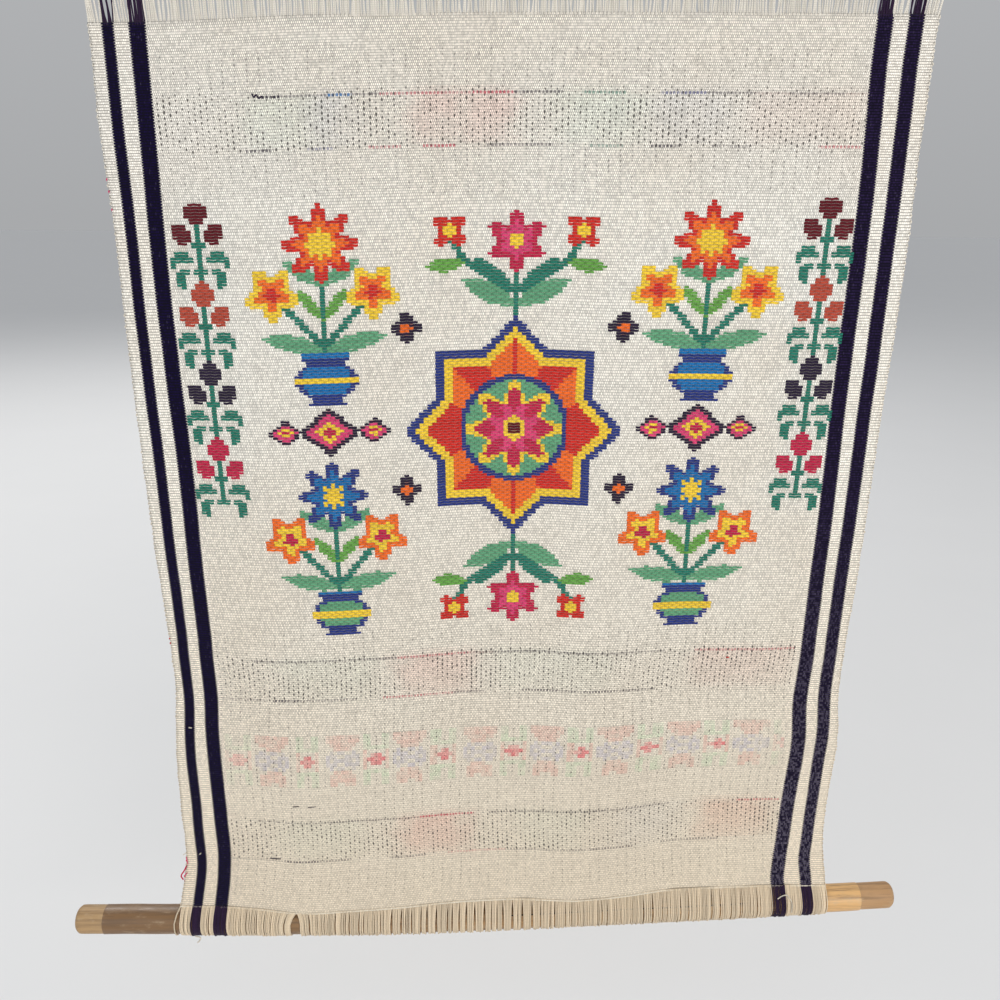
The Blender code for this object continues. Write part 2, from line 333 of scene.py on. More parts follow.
def place(column, row):
    """Point of the web's middle at a column and row of the lattice; both may be arrays."""
    column = np.clip(np.asarray(column, float), 0, COLUMNS - 1e-6)
    row = np.clip(np.asarray(row, float), 0, ROWS - 1e-6)
    left, up = np.floor(column).astype(int), np.floor(row).astype(int)
    right_part = (column - left)[..., None]
    down_part = (row - up)[..., None]
    upper = lattice[up, left] * (1 - right_part) + lattice[up, left + 1] * right_part
    lower = lattice[up + 1, left] * (1 - right_part) + lattice[up + 1, left + 1] * right_part
    return upper * (1 - down_part) + lower * down_part


# Meshes and materials


def add_piece(name, points, faces, materials, smooth=True):
    mesh = bpy.data.meshes.new(name)
    mesh.from_pydata(np.asarray(points).tolist(), [], np.asarray(faces).tolist())
    mesh.polygons.foreach_set("use_smooth", [smooth] * len(mesh.polygons))
    for material in materials:
        mesh.materials.append(material)
    piece = bpy.data.objects.new(name, mesh)
    bpy.context.scene.collection.objects.link(piece)
    return piece


def set_map(piece, name, places):
    """places holds a pair for each corner of the mesh."""
    layer = piece.data.uv_layers.new(name=name)
    layer.data.foreach_set("uv", np.asarray(places, np.float32).ravel())


def set_colours(piece, name, colours, domain):
    layer = piece.data.color_attributes.new(name=name, type="FLOAT_COLOR", domain=domain)
    full = np.ones((len(colours), 4), np.float32)
    full[:, :3] = colours
    layer.data.foreach_set("color", full.ravel())


def set_values(piece, name, values):
    layer = piece.data.attributes.new(name=name, type="FLOAT", domain="POINT")
    layer.data.foreach_set("value", np.asarray(values, np.float32).ravel())


def corner_points(piece):
    """Vertex of every corner of the mesh."""
    corners = np.empty(len(piece.data.loops), np.int32)
    piece.data.loops.foreach_get("vertex_index", corners)
    return corners


class Nodes:
    """Short ways to write the nodes of one material."""

    def __init__(self, name, roughness):
        self.material = bpy.data.materials.new(name)
        self.material.use_nodes = True
        self.tree = self.material.node_tree
        self.shader = self.tree.nodes["Principled BSDF"]
        self.shader.inputs["Roughness"].default_value = roughness

    def put(self, socket, value):
        if isinstance(value, bpy.types.NodeSocket):
            self.tree.links.new(value, socket)
        else:
            socket.default_value = value

    def new(self, kind, **settings):
        made = self.tree.nodes.new(kind)
        for key, value in settings.items():
            setattr(made, key, value)
        return made

    def math(self, operation, *values, clamp=False):
        made = self.new("ShaderNodeMath", operation=operation, use_clamp=clamp)
        for socket, value in zip(made.inputs, values):
            self.put(socket, value)
        return made.outputs[0]

    def add(self, first, second):
        return self.math("ADD", first, second)

    def less(self, first, second):
        return self.math("SUBTRACT", first, second)

    def times(self, first, second):
        return self.math("MULTIPLY", first, second)

    def mix(self, share, first, second, blend="MIX"):
        made = self.new("ShaderNodeMix", data_type="RGBA", blend_type=blend)
        for socket, value in zip((made.inputs[0], made.inputs[6], made.inputs[7]), (share, first, second)):
            if isinstance(value, tuple):
                value = (*value, 1.0)
            self.put(socket, value)
        return made.outputs[2]

    def grey(self, level):
        made = self.new("ShaderNodeCombineColor")
        for socket in made.inputs:
            self.put(socket, level)
        return made.outputs[0]

    def between(self, value, low, high, to_low=0.0, to_high=1.0):
        made = self.new("ShaderNodeMapRange", interpolation_type="SMOOTHSTEP")
        for socket, item in zip(made.inputs, (value, low, high, to_low, to_high)):
            self.put(socket, item)
        return made.outputs[0]

    def attribute(self, name):
        return self.new("ShaderNodeAttribute", attribute_name=name)

    def uv(self, name):
        made = self.new("ShaderNodeUVMap", uv_map=name)
        parts = self.new("ShaderNodeSeparateXYZ")
        self.put(parts.inputs[0], made.outputs[0])
        return parts.outputs[0], parts.outputs[1]

    def vector(self, x, y, z=0.0):
        made = self.new("ShaderNodeCombineXYZ")
        for socket, value in zip(made.inputs, (x, y, z)):
            self.put(socket, value)
        return made.outputs[0]

    def scaled_place(self, x, y, z):
        """The object's own coordinates in metres, times a scale for each axis."""
        made = self.new("ShaderNodeMapping")
        made.inputs["Scale"].default_value = (x, y, z)
        self.put(made.inputs[0], self.new("ShaderNodeTexCoord").outputs["Object"])
        return made.outputs[0]

    def noise(self, vector, scale=1.0, detail=2.0, roughness=0.5):
        made = self.new("ShaderNodeTexNoise")
        self.put(made.inputs["Vector"], vector)
        made.inputs["Scale"].default_value = scale
        made.inputs["Detail"].default_value = detail
        made.inputs["Roughness"].default_value = roughness
        return made.outputs[0]

    def random(self, x, y):
        """A value for each whole pair of numbers."""
        made = self.new("ShaderNodeTexWhiteNoise", noise_dimensions="2D")
        self.put(made.inputs["Vector"], self.vector(x, y))
        return made.outputs["Value"]

    def ramp(self, value, stops, interpolation="LINEAR"):
        made = self.new("ShaderNodeValToRGB")
        made.color_ramp.interpolation = interpolation
        elements = made.color_ramp.elements
        while len(elements) < len(stops):
            elements.new(0.5)
        for element, (position, colour) in zip(elements, stops):
            element.position = position
            element.color = colour if len(colour) == 4 else (*colour, 1.0)
        self.put(made.inputs[0], value)
        return made

    def bump(self, height, distance, strength=1.0):
        made = self.new("ShaderNodeBump")
        made.inputs["Strength"].default_value = strength
        made.inputs["Distance"].default_value = distance
        self.put(made.inputs["Height"], height)
        self.put(self.shader.inputs["Normal"], made.outputs[0])

    def hump(self, part):
        """From a part between 0 and 1: 0 at its ends and 1 in its middle."""
        centred = self.less(self.times(part, 2.0), 1.0)
        return self.less(1.0, self.times(centred, centred))


# Coloured weft lines that bound the bands: row, and stretches of column, colour and strength
WEFT_LINES = (
    (12.1, (
        (0, "W", 0.15), (20, "W", 0.35), (22.5, "K", 0.95), (27, "K", 0.55), (37, "B", 0.85),
        (42, "K", 0.6), (48, "C", 0.6), (62, "C", 0.35), (68, "C", 0.75), (77, "K", 0.7),
        (87, "W", 0.2), (91, "T", 0.65), (101, "W", 0.3), (108, "N", 0.7), (118, "K", 0.55),
        (128, "M", 0.3), (136, "K", 0.5), (148, "M", 0.3),
    )),
    (20.4, (
        (0, "W", 0.2), (19, "K", 0.8), (25, "W", 0.2), (32, "N", 0.5), (38, "W", 0.1),
        (45, "C", 0.5), (52, "W", 0.1), (57, "C", 0.75), (64, "W", 0.1), (71, "K", 0.6),
        (85, "W", 0.1), (93, "T", 0.5), (101, "W", 0.1), (106, "K", 0.8), (113, "W", 0.1),
        (120, "K", 0.5), (128, "W", 0.15), (143, "C", 0.6),
    )),
    (114.5, (
        (0, "W", 0.2), (9, "K", 0.55), (38, "K", 0.65), (47, "C", 0.55), (66, "M", 0.5),
        (72, "K", 0.65), (100, "K", 0.45), (118, "W", 0.2), (126, "C", 0.5),
    )),
    (123.0, (
        (0, "K", 0.4), (12, "W", 0.15), (13.6, "K", 0.85), (19.8, "K", 0.5), (36, "W", 0.2),
        (43, "C", 0.6), (54, "C", 0.4), (62, "K", 0.6), (70, "W", 0.15), (80, "K", 0.7),
        (104, "K", 0.6), (116, "W", 0.3),
    )),
    (152.3, (
        (0, "W", 0.2), (8, "K", 0.35), (28, "K", 0.6), (53, "C", 0.75), (68, "W", 0.35),
        (72, "K", 0.5), (92, "K", 0.65), (104, "K", 0.4), (122, "W", 0.3), (141, "C", 0.55),
    )),
    (161.4, (
        (0, "K", 0.3), (15, "K", 0.75), (24, "K", 0.45), (34, "W", 0.2), (44, "K", 0.55),
        (54, "W", 0.2), (60, "C", 0.35), (76, "K", 0.4), (100, "K", 0.6), (112, "W", 0.3),
        (120, "K", 0.5), (136, "W", 0.2),
    )),
)
LINE_HALF = 0.30


def ground_material():
    """Plain weave in cream, with its dark warp stripes, thin places and tinted bands."""
    n = Nodes("ground_weave", 0.93)
    n.shader.inputs["Sheen Weight"].default_value = 0.03
    n.shader.inputs["Sheen Roughness"].default_value = 0.6
    n.shader.inputs["Specular IOR Level"].default_value = 0.08
    across, down = n.uv("Weave")
    cell = n.less(across, float(FIRST_CELL))

    pick = n.times(down, GROUND_PICKS)
    for first, last, more in EXTRA_PICKS:
        within = n.math("MINIMUM", n.math("MAXIMUM", n.less(down, first), 0.0), last - first)
        pick = n.add(pick, n.times(within, more))
    pick_number = n.math("FLOOR", pick)
    pick_part = n.math("FRACT", pick)
    odd = n.math("MODULO", pick_number, 2.0)
    pair = n.add(n.times(across, WARP_PAIRS), n.times(odd, 0.5))
    pair_part = n.math("FRACT", pair)
    rib = n.hump(pick_part)
    bead = n.hump(pair_part)
    # Fine beads in the middle, and thicker ribs across the margins and the stripes
    inside = n.times(n.between(cell, -0.2, 0.2), n.between(cell, CENTRE_CELLS + 0.2, CENTRE_CELLS - 0.2))
    fine = n.times(n.math("POWER", rib, 0.3), n.add(n.times(bead, 0.75), 0.25))
    ribbed = n.times(n.math("POWER", rib, 0.7), n.add(n.times(bead, 0.45), 0.55))
    weave = n.add(n.times(fine, inside), n.times(ribbed, n.less(1.0, inside)))
    unevenness = n.random(n.math("FLOOR", pair), pick_number)
    thick_thin = n.noise(n.vector(n.times(across, 0.09), n.times(pick_number, 0.73)), 1.0, 1.0)
    weave = n.times(weave, n.add(n.times(unevenness, 0.45), 0.72))

    # Thin places of the warp: one small hole to two picks, and between them the open bands' own. The holes
    # are painted shade: they are coloured near black where the web has no opening
    open_weave = n.attribute("open").outputs["Fac"]
    first_row, last_row = float(REPEAT_ROW), float(REPEAT_ROW + len(REPEAT_CHART))
    in_repeat = n.times(
        n.between(down, first_row - 0.1, first_row + 0.1), n.between(down, last_row + 0.1, last_row - 0.1)
    )
    closer = n.times(in_repeat, 2.0 / REPEAT_HOLE_PITCH - 2.0 / HOLE_PITCH)
    half_column = n.add(n.times(cell, n.add(closer, 2.0 / HOLE_PITCH)), 0.5)
    half_number = n.math("FLOOR", half_column)
    between_them = n.math("MODULO", half_number, 2.0)
    aside = n.less(n.math("FRACT", half_column), 0.5)
    along = n.less(n.math("FRACT", n.add(n.times(pick, 0.5), n.times(between_them, 0.5))), 0.5)
    two_picks = n.math("FLOOR", n.add(n.times(pick, 0.5), n.times(between_them, 0.5)))
    chance = n.random(half_number, two_picks)
    spread = n.noise(n.vector(n.times(cell, 0.050), n.times(down, 0.11)), 1.0, 3.0, 0.65)
    size = n.times(n.between(chance, 0.0, 1.0, 0.55, 1.15), n.between(spread, 0.30, 0.66, 0.60, 1.15))
    fully_open = n.between(open_weave, 0.50, 0.90)
    size = n.times(size, n.add(n.times(fully_open, 0.15), 0.92))
    far = n.math("SQRT", n.add(
        n.math("POWER", n.times(n.math("ABSOLUTE", aside), 1.0 / 0.130), 2.0),
        n.math("POWER", n.times(n.math("ABSOLUTE", along), 1.0 / 0.260), 2.0),
    ))
    dot = n.between(n.less(far, size), 0.18, -0.22)
    shown = n.add(
        n.times(n.less(1.0, between_them), n.between(open_weave, 0.02, 0.40)),
        n.times(between_them, fully_open),
    )
    holes_painted_dark = n.times(dot, n.math("MINIMUM", shown, 1.0))

    # Cream with the tints of the bands and of the light that yellows it towards the foot
    height_part = n.times(down, 1.0 / ROWS)
    base = n.ramp(height_part, (
        (0.0, (0.655, 0.620, 0.560)),
        (0.25, (0.690, 0.665, 0.610)),
        (0.60, (0.670, 0.625, 0.545)),
        (1.0, (0.690, 0.600, 0.470)),
    )).outputs[0]
    blotch = n.noise(n.scaled_place(9.0, 9.0, 9.0), 1.0, 4.0, 0.6)
    base = n.mix(n.between(blotch, 0.35, 0.70, 0.0, 0.30), base, (0.600, 0.520, 0.420))
    base = n.mix(1.0, base, n.attribute("tint").outputs["Color"], "MULTIPLY")
    # The weave is painted light on the tops of its ribs and beads and painted shade between them. Picks
    # stand out less below the small repeat, and the margins are a little lighter
    contrast = n.between(down, 122.0, 146.0, 1.30, 0.85)
    level = n.less(0.97, n.times(inside, 0.07))
    shade = n.add(n.times(n.less(weave, 0.60), contrast), n.add(n.times(thick_thin, 0.16), level))
    base = n.mix(1.0, base, n.grey(shade), "MULTIPLY")

    # Coloured weft shows as dashes between the warp
    dash = n.between(n.hump(n.math("FRACT", n.times(across, WARP_PAIRS / 2))), 0.30, 0.75)
    for row, stretches in WEFT_LINES:
        stops = [
            (start / CENTRE_CELLS, (*YARN_COLOURS[letter], strength))
            for start, letter, strength in stretches
        ]
        ramp = n.ramp(n.times(cell, 1.0 / CENTRE_CELLS), stops, "CONSTANT")
        wander = n.noise(n.vector(n.times(cell, 0.4), row), 1.0, 1.0)
        near = n.math("ABSOLUTE", n.less(n.add(down, n.times(n.less(wander, 0.5), 0.25)), row))
        line = n.times(n.between(near, LINE_HALF, LINE_HALF * 0.55), n.times(dash, inside))
        drop = n.random(n.math("FLOOR", n.times(across, WARP_PAIRS)), row)
        line = n.times(line, n.between(drop, 0.0, 0.5, 0.45, 1.0))
        base = n.mix(n.times(line, ramp.outputs[1]), base, ramp.outputs[0])
    # Painted shade in the holes, darker where the weave is fully open and in the small repeat
    hole_shade_strength = n.add(n.times(n.math("MAXIMUM", fully_open, n.times(in_repeat, 0.8)), 0.40), 0.48)
    base = n.mix(n.times(holes_painted_dark, hole_shade_strength), base, (0.060, 0.055, 0.052))

    # Warp stripes
    inward = n.add(n.attribute("stripe").outputs["Fac"], n.times(n.less(rib, 0.5), 1.2))
    dark = n.between(inward, -0.14, 0.14)
    # Pale flecks on the tops of some beads are painted glints, and the right stripes are paler lower down
    fleck = n.times(n.between(unevenness, 0.93, 1.0), n.between(bead, 0.7, 0.95))
    paler_lower_right = n.times(n.between(down, 70.0, 165.0), n.between(cell, 100.0, 150.0))
    pale = n.add(n.times(fleck, 0.10), n.times(n.times(n.between(unevenness, 0.3, 0.9), paler_lower_right), 0.24))
    # Painted light and shade on the stripes' ribs: these colours on the tops, near black between them
    stripe_lit_tops = n.mix(n.between(cell, 20.0, 130.0), STRIPE_LEFT, STRIPE_RIGHT)
    stripe_base = n.mix(n.math("POWER", weave, 3.0), (0.0030, 0.0020, 0.0080), stripe_lit_tops)
    stripe_base = n.mix(pale, stripe_base, (0.300, 0.270, 0.320))
    base = n.mix(dark, base, stripe_base)
    n.put(n.shader.inputs["Base Color"], base)

    relief = n.less(weave, n.times(holes_painted_dark, 0.9))
    n.bump(relief, 0.00042, 0.75)
    return n.material


def yarn_material(name, roughness, twist_pitch, sheen):
    """Spun yarn: colour from the mesh, with painted shade in the grooves of its twist, and its fibres."""
    n = Nodes(name, roughness)
    n.shader.inputs["Sheen Weight"].default_value = sheen
    n.shader.inputs["Sheen Roughness"].default_value = 0.5
    n.shader.inputs["Specular IOR Level"].default_value = 0.15
    round_it, along = n.uv("Weave")
    colour = n.attribute("yarn").outputs["Color"]
    ply = n.hump(n.math("FRACT", n.add(n.times(along, 1.0 / twist_pitch), round_it)))
    fibre = n.noise(n.scaled_place(2600.0, 2600.0, 2600.0), 1.0, 2.0)
    # Each ply is painted lighter in its middle and darker in the twist's grooves, as painted shade
    level = n.add(n.times(ply, 0.22), n.add(n.times(fibre, 0.36), 0.70))
    n.put(n.shader.inputs["Base Color"], n.mix(1.0, colour, n.grey(level), "MULTIPLY"))
    n.bump(n.add(ply, n.times(fibre, 0.5)), 0.00012, 0.6)
    return n.material


# Design: letters of YARN_COLOURS on the lattice's cells

PANEL_CELL = 77  # column of the panel's middle
PANEL_PICK = 139  # half rows from the top, as all charts of picks are
PANEL_HALF_CELLS = 62
PANEL_PICKS = (58, 222)
CELL_WIDTH = 2.547
PICK_HEIGHT = 1.649


class Panel:
    """A chart in cells, painted with shapes given in mm about the panel's middle.

    Both halves are painted at once, because the sides are alike.
    """

    def __init__(self):
        self.first_cell = PANEL_CELL - PANEL_HALF_CELLS
        self.cells = 2 * PANEL_HALF_CELLS + 1
        self.first_pick, last_pick = PANEL_PICKS
        self.chart = np.full((last_pick - self.first_pick, self.cells), " ")
        columns = np.arange(self.cells) - PANEL_HALF_CELLS
        picks = np.arange(self.first_pick, last_pick) + 0.5 - PANEL_PICK
        self.x = np.abs(columns * CELL_WIDTH)[None, :] + 0 * picks[:, None]
        self.y = -(picks * PICK_HEIGHT)[:, None] + 0 * columns[None, :]

    def paint(self, inside, letter):
        self.chart[inside] = letter

    def disc(self, x, y, radius, letter):
        self.paint(np.hypot(self.x - x, self.y - y) < radius, letter)

    def bloom(self, x, y, radius, petals, letter, turn=0.0):
        angle = np.arctan2(self.y - y, self.x - x) + math.radians(turn)
        reach = radius * (0.80 + 0.20 * np.cos(petals * angle))
        self.paint(np.hypot(self.x - x, self.y - y) < reach, letter)

    def diamond(self, x, y, width, height, letter):
        away = np.abs(self.x - x) / (width / 2) + np.abs(self.y - y) / (height / 2)
        self.paint(away < 1, letter)

    def leaf(self, start, end, width, letter):
        dx, dy = end[0] - start[0], end[1] - start[1]
        length = math.hypot(dx, dy)
        along = ((self.x - start[0]) * dx + (self.y - start[1]) * dy) / length ** 2
        aside = np.abs((self.x - start[0]) * dy - (self.y - start[1]) * dx) / length
        half = width / 2 * np.sin(np.pi * np.clip(along, 0.0, 1.0)) ** 0.7
        self.paint((along > 0) & (along < 1) & (aside < half), letter)

    def stem(self, points, width, letter):
        for start, end in zip(points, points[1:]):
            dx, dy = end[0] - start[0], end[1] - start[1]
            along = ((self.x - start[0]) * dx + (self.y - start[1]) * dy) / (dx * dx + dy * dy)
            along = np.clip(along, 0.0, 1.0)
            away = np.hypot(self.x - start[0] - along * dx, self.y - start[1] - along * dy)
            self.paint(away < width / 2, letter)

    def in_star(self, reach):
        """Eight-pointed star in the middle of the panel."""
        square = np.maximum(self.x, np.abs(self.y)) < reach / math.sqrt(2)
        lozenge = self.x + np.abs(self.y) < reach
        return square | lozenge

    def star(self, reach, letter):
        self.paint(self.in_star(reach), letter)

    def split_star(self, reach, first, second):
        """The same star with its points split along their axes into two colours."""
        angle = np.degrees(np.arctan2(np.abs(self.y), self.x))
        other = (angle // 22.5).astype(int) % 2 == 1
        self.star(reach, first)
        self.paint(self.in_star(reach) & other, second)

    def vase(self, x, y, up, letters):
        """A footed pot; y is its foot, and up is 1, or -1 for one that hangs upside down."""
        profile = ((0, 12), (4, 8), (7, 14), (14, 19), (21, 17), (25, 10), (28, 15), (31, 15))
        level = (self.y - y) * up
        half = np.interp(level, *zip(*profile))
        inside = (level > 0) & (level < profile[-1][0]) & (np.abs(self.x - x) < half)
        self.paint(inside, letters[0])
        self.paint(inside & (np.abs(self.x - x) < half - 3.4) & (level > 7) & (level < 24), letters[1])
        self.paint(inside & (np.abs(level - 15) < 2.0), letters[2])
        self.paint(inside & (level > 28), letters[3])


def design_panel():
    """Star medallion, four potted plants and two sprays, all general ornament."""
    p = Panel()
    # Medallion
    p.star(67, "N")
    p.star(61, "Y")
    p.split_star(54, "R", "O")
    p.disc(0, 0, 33, "N")
    p.disc(0, 0, 29.5, "G")
    p.bloom(0, 0, 30, 8, "Y")
    p.bloom(0, 0, 24.5, 8, "C")
    p.bloom(0, 0, 17, 8, "P", 22.5)
    p.disc(0, 0, 7.5, "Y")
    p.disc(0, 0, 3.6, "M")
    for up in (1, -1):
        # Sprays over and under the medallion
        p.stem(((0, up * 70), (0, up * 96)), 4.5, "T")
        p.leaf((0, up * 74), (31, up * 88), 11, "G")
        p.leaf((0, up * 80), (24, up * 101), 8, "T")
        p.stem(((4, up * 82), (30, up * 100), (38, up * 112)), 3.8, "T")
        p.leaf((30, up * 98), (52, up * 96), 8, "L")
        p.bloom(0, up * 110, 17.5, 6, "C", 90)
        p.bloom(0, up * 110, 11.5, 6, "P", 90)
        p.disc(0, up * 110, 4.2, "Y")
        p.bloom(38, up * 116, 10.5, 4, "R", 45)
        p.disc(38, up * 116, 3.6, "Y")
    # Potted plants: foot of the pot, and colours of the large and the small blooms
    plants = (
        (18, (("R", 22), ("O", 16), ("Y", 9.5)), (("Y", 16.5), ("O", 10.5), ("R", 5)), "NBYB"),
        (-131, (("N", 22), ("B", 16), ("Y", 8)), (("O", 16.5), ("Y", 10.5), ("C", 5)), "NGYB"),
    )
    # Leaves on both sides of a stem: height of the root, reach, height of the tip, width, letter
    leaves = ((33, 36, 41, 10, "G"), (50, 15, 68, 6.5, "L"), (70, 22, 84, 8, "G"))
    middle = 112
    for foot, large, small, pot in plants:
        p.stem(((middle, foot + 28), (middle, foot + 84)), 4.4, "T")
        for side in (-1, 1):
            p.stem(((middle, foot + 34), (middle + side * 22, foot + 58)), 3.8, "T")
        for root, reach, tip, width, letter in leaves:
            for side in (-1, 1):
                p.leaf((middle, foot + root), (middle + side * reach, foot + tip), width, letter)
        for letter, radius in large:
            p.bloom(middle, foot + 93, radius, 8, letter)
        for side in (-1, 1):
            for letter, radius in small:
                p.bloom(middle + side * 29, foot + 66, radius, 5, letter, 90)
        p.vase(middle, foot, 1, pot)
    # Lozenges between the plants, and small stars
    for x, size in ((112, 1.0), (85, 0.55), (139, 0.55)):
        p.diamond(x, 2, 38 * size, 30 * size, "K")
        p.diamond(x, 2, 29 * size, 22 * size, "P")
        p.diamond(x, 2, 17 * size, 13 * size, "Y")
        p.diamond(x, 2, 8 * size, 7 * size, "C")
    for x, y in ((64, 62), (66, -36)):
        p.bloom(x, y, 9.5, 4, "K")
        p.disc(x, y, 3.0, "O")
    return p.chart, p.first_cell, p.first_pick


# Sprig in the side columns: first pick, past-last pick, and the nearest and farthest cell from
# its stem that are lit, on both sides
SPRIG_FIRST_BLOOM = ((1, 2, 0, 1), (2, 6, 0, 2), (6, 8, 0, 1))
SPRIG_BLOOM = ((-1, 0, 0, 0), (0, 2, 0, 1), (2, 6, 0, 2), (6, 8, 0, 1))
SPRIG_HEARTS = ((8, 10, 3, 5), (10, 13, 2, 5), (13, 14, 2, 4), (14, 15, 3, 4))
SPRIG_GREEN = (
    (8, 25, 0, 0), (14, 16, 0, 1), (17, 19, 3, 5), (19, 21, 2, 6), (21, 23, 6, 6),
    (23, 25, 0, 1), (23, 24, 3, 4), (24, 25, 3, 5), (25, 29, 4, 5), (29, 30, 4, 4),
)
SPRIG_STEM_ON = ((25, 27, 0, 0),)  # joins a sprig to the one under it
SPRIG_CELLS = (6, 147)
SPRIG_PICKS = ((56, "M"), (84, "S"), (112, "K"), (140, "C"))

# The two figures that alternate along the lower band
REPEAT_CHART = (
    "RRRRRRRR.GG..GG.",
    "RRRRRRRR.GG..GG.",
    ".RRRRRR..GG..GG.",
    "..RRRR...GGGGGG.",
    ".N.NN.N..R....R.",
    "NNN..NNN.R.CC.R.",
    "N.NNNN.N.RCCCCR.",
    "NNN..NNN.R.CC.R.",
    ".N.NN.N..R....R.",
    "..RRRR...GGGGGG.",
    ".RRRRRR..GG..GG.",
    ".RRRRRR..GG..GG.",
    ".RR..RR..GG..GG.",
)
REPEAT_ROW = 131
REPEAT_PITCH = 18.45  # columns that the two figures take together
REPEAT_START = 9.2  # column where one pair of them starts
REPEAT_SPAN = (1, 152)

# Bands that show full on the back and through the web on the face:
# first row, past-last row, and stretches of column, colour and strength on the face
BANDS = (
    (12, 20, (
        (0, "W", 0.0), (19, "T", 0.05), (33, "B", 0.08), (41, "W", 0.02), (55, "R", 0.11),
        (62, "W", 0.03), (64, "R", 0.12), (76, "W", 0.03), (86, "T", 0.06), (104, "W", 0.02),
        (108, "B", 0.05), (122, "W", 0.02), (127, "O", 0.05), (146, "O", 0.04),
    )),
    (114, 123, (
        (0, "W", 0.0), (16, "T", 0.03), (40, "W", 0.01), (47, "R", 0.11), (66, "W", 0.02),
        (74, "T", 0.03), (104, "W", 0.01), (126, "R", 0.07), (146, "R", 0.05),
    )),
    (152, 161, (
        (0, "W", 0.0), (14, "T", 0.03), (36, "W", 0.01), (47, "R", 0.14), (65, "W", 0.02),
        (80, "T", 0.03), (98, "W", 0.01), (108, "B", 0.04), (124, "W", 0.01), (130, "O", 0.13),
        (150, "W", 0.02),
    )),
)
# Parts of the web where the warp's thin places show: first row, past-last row, strength
THIN_ROWS = (
    (5.5, 10.5, 0.34), (10.8, 12.2, 0.62), (12.2, 20.2, 1.0), (21.5, 22.5, 0.6), (23.5, 28.0, 0.30),
    (109.0, 114.5, 0.34), (114.5, 123.0, 0.95), (123.0, 131.0, 0.32), (131.0, 144.0, 0.30),
    (144.0, 152.3, 0.32), (152.3, 161.4, 0.90), (161.4, 170.0, 0.28),
)


def sprig_chart():
    """Cells of the side sprigs: a dictionary from pick and column to letter."""
    cells = {}
    for middle in SPRIG_CELLS:
        for number, (top_pick, bloom) in enumerate(SPRIG_PICKS):
            top = SPRIG_BLOOM if number else SPRIG_FIRST_BLOOM
            stem_on = SPRIG_STEM_ON if number < len(SPRIG_PICKS) - 1 else ()
            for parts, letter in ((SPRIG_GREEN + stem_on, "T"), (top + SPRIG_HEARTS, bloom)):
                for first, last, near, far in parts:
                    for pick in range(top_pick + first, top_pick + last):
                        for step in range(near, far + 1):
                            cells[pick, middle + step] = letter
                            cells[pick, middle - step] = letter
    return cells


def repeat_chart():
    cells = {}
    for row, line in enumerate(REPEAT_CHART):
        for cell in range(*REPEAT_SPAN):
            part = (cell + 0.5 - REPEAT_START) / REPEAT_PITCH % 1.0
            letter = line[int(part * len(line))]
            if letter != ".":
                cells[REPEAT_ROW + row, cell] = letter
    return cells


def band_letter(stretches, cell):
    found = stretches[0]
    for stretch in stretches:
        if cell >= stretch[0]:
            found = stretch
    return found[1], found[2]


def panel_cells():
    chart, first_cell, first_pick = design_panel()
    picks, columns = np.nonzero(chart != " ")
    return {
        (first_pick + int(pick), first_cell + int(column)): str(chart[pick, column])
        for pick, column in zip(picks, columns)
    }


def in_picks(cells):
    """A chart of whole rows as a chart of picks."""
    return {(2 * row + half, cell): letter for (row, cell), letter in cells.items() for half in (0, 1)}


PANEL_CELLS = panel_cells()
SPRIG_CELLS_LIT = sprig_chart()
REPEAT_CELLS = repeat_chart()


# Ground


def mixed(first, second, share):
    return tuple(a + (b - a) * share for a, b in zip(first, second))


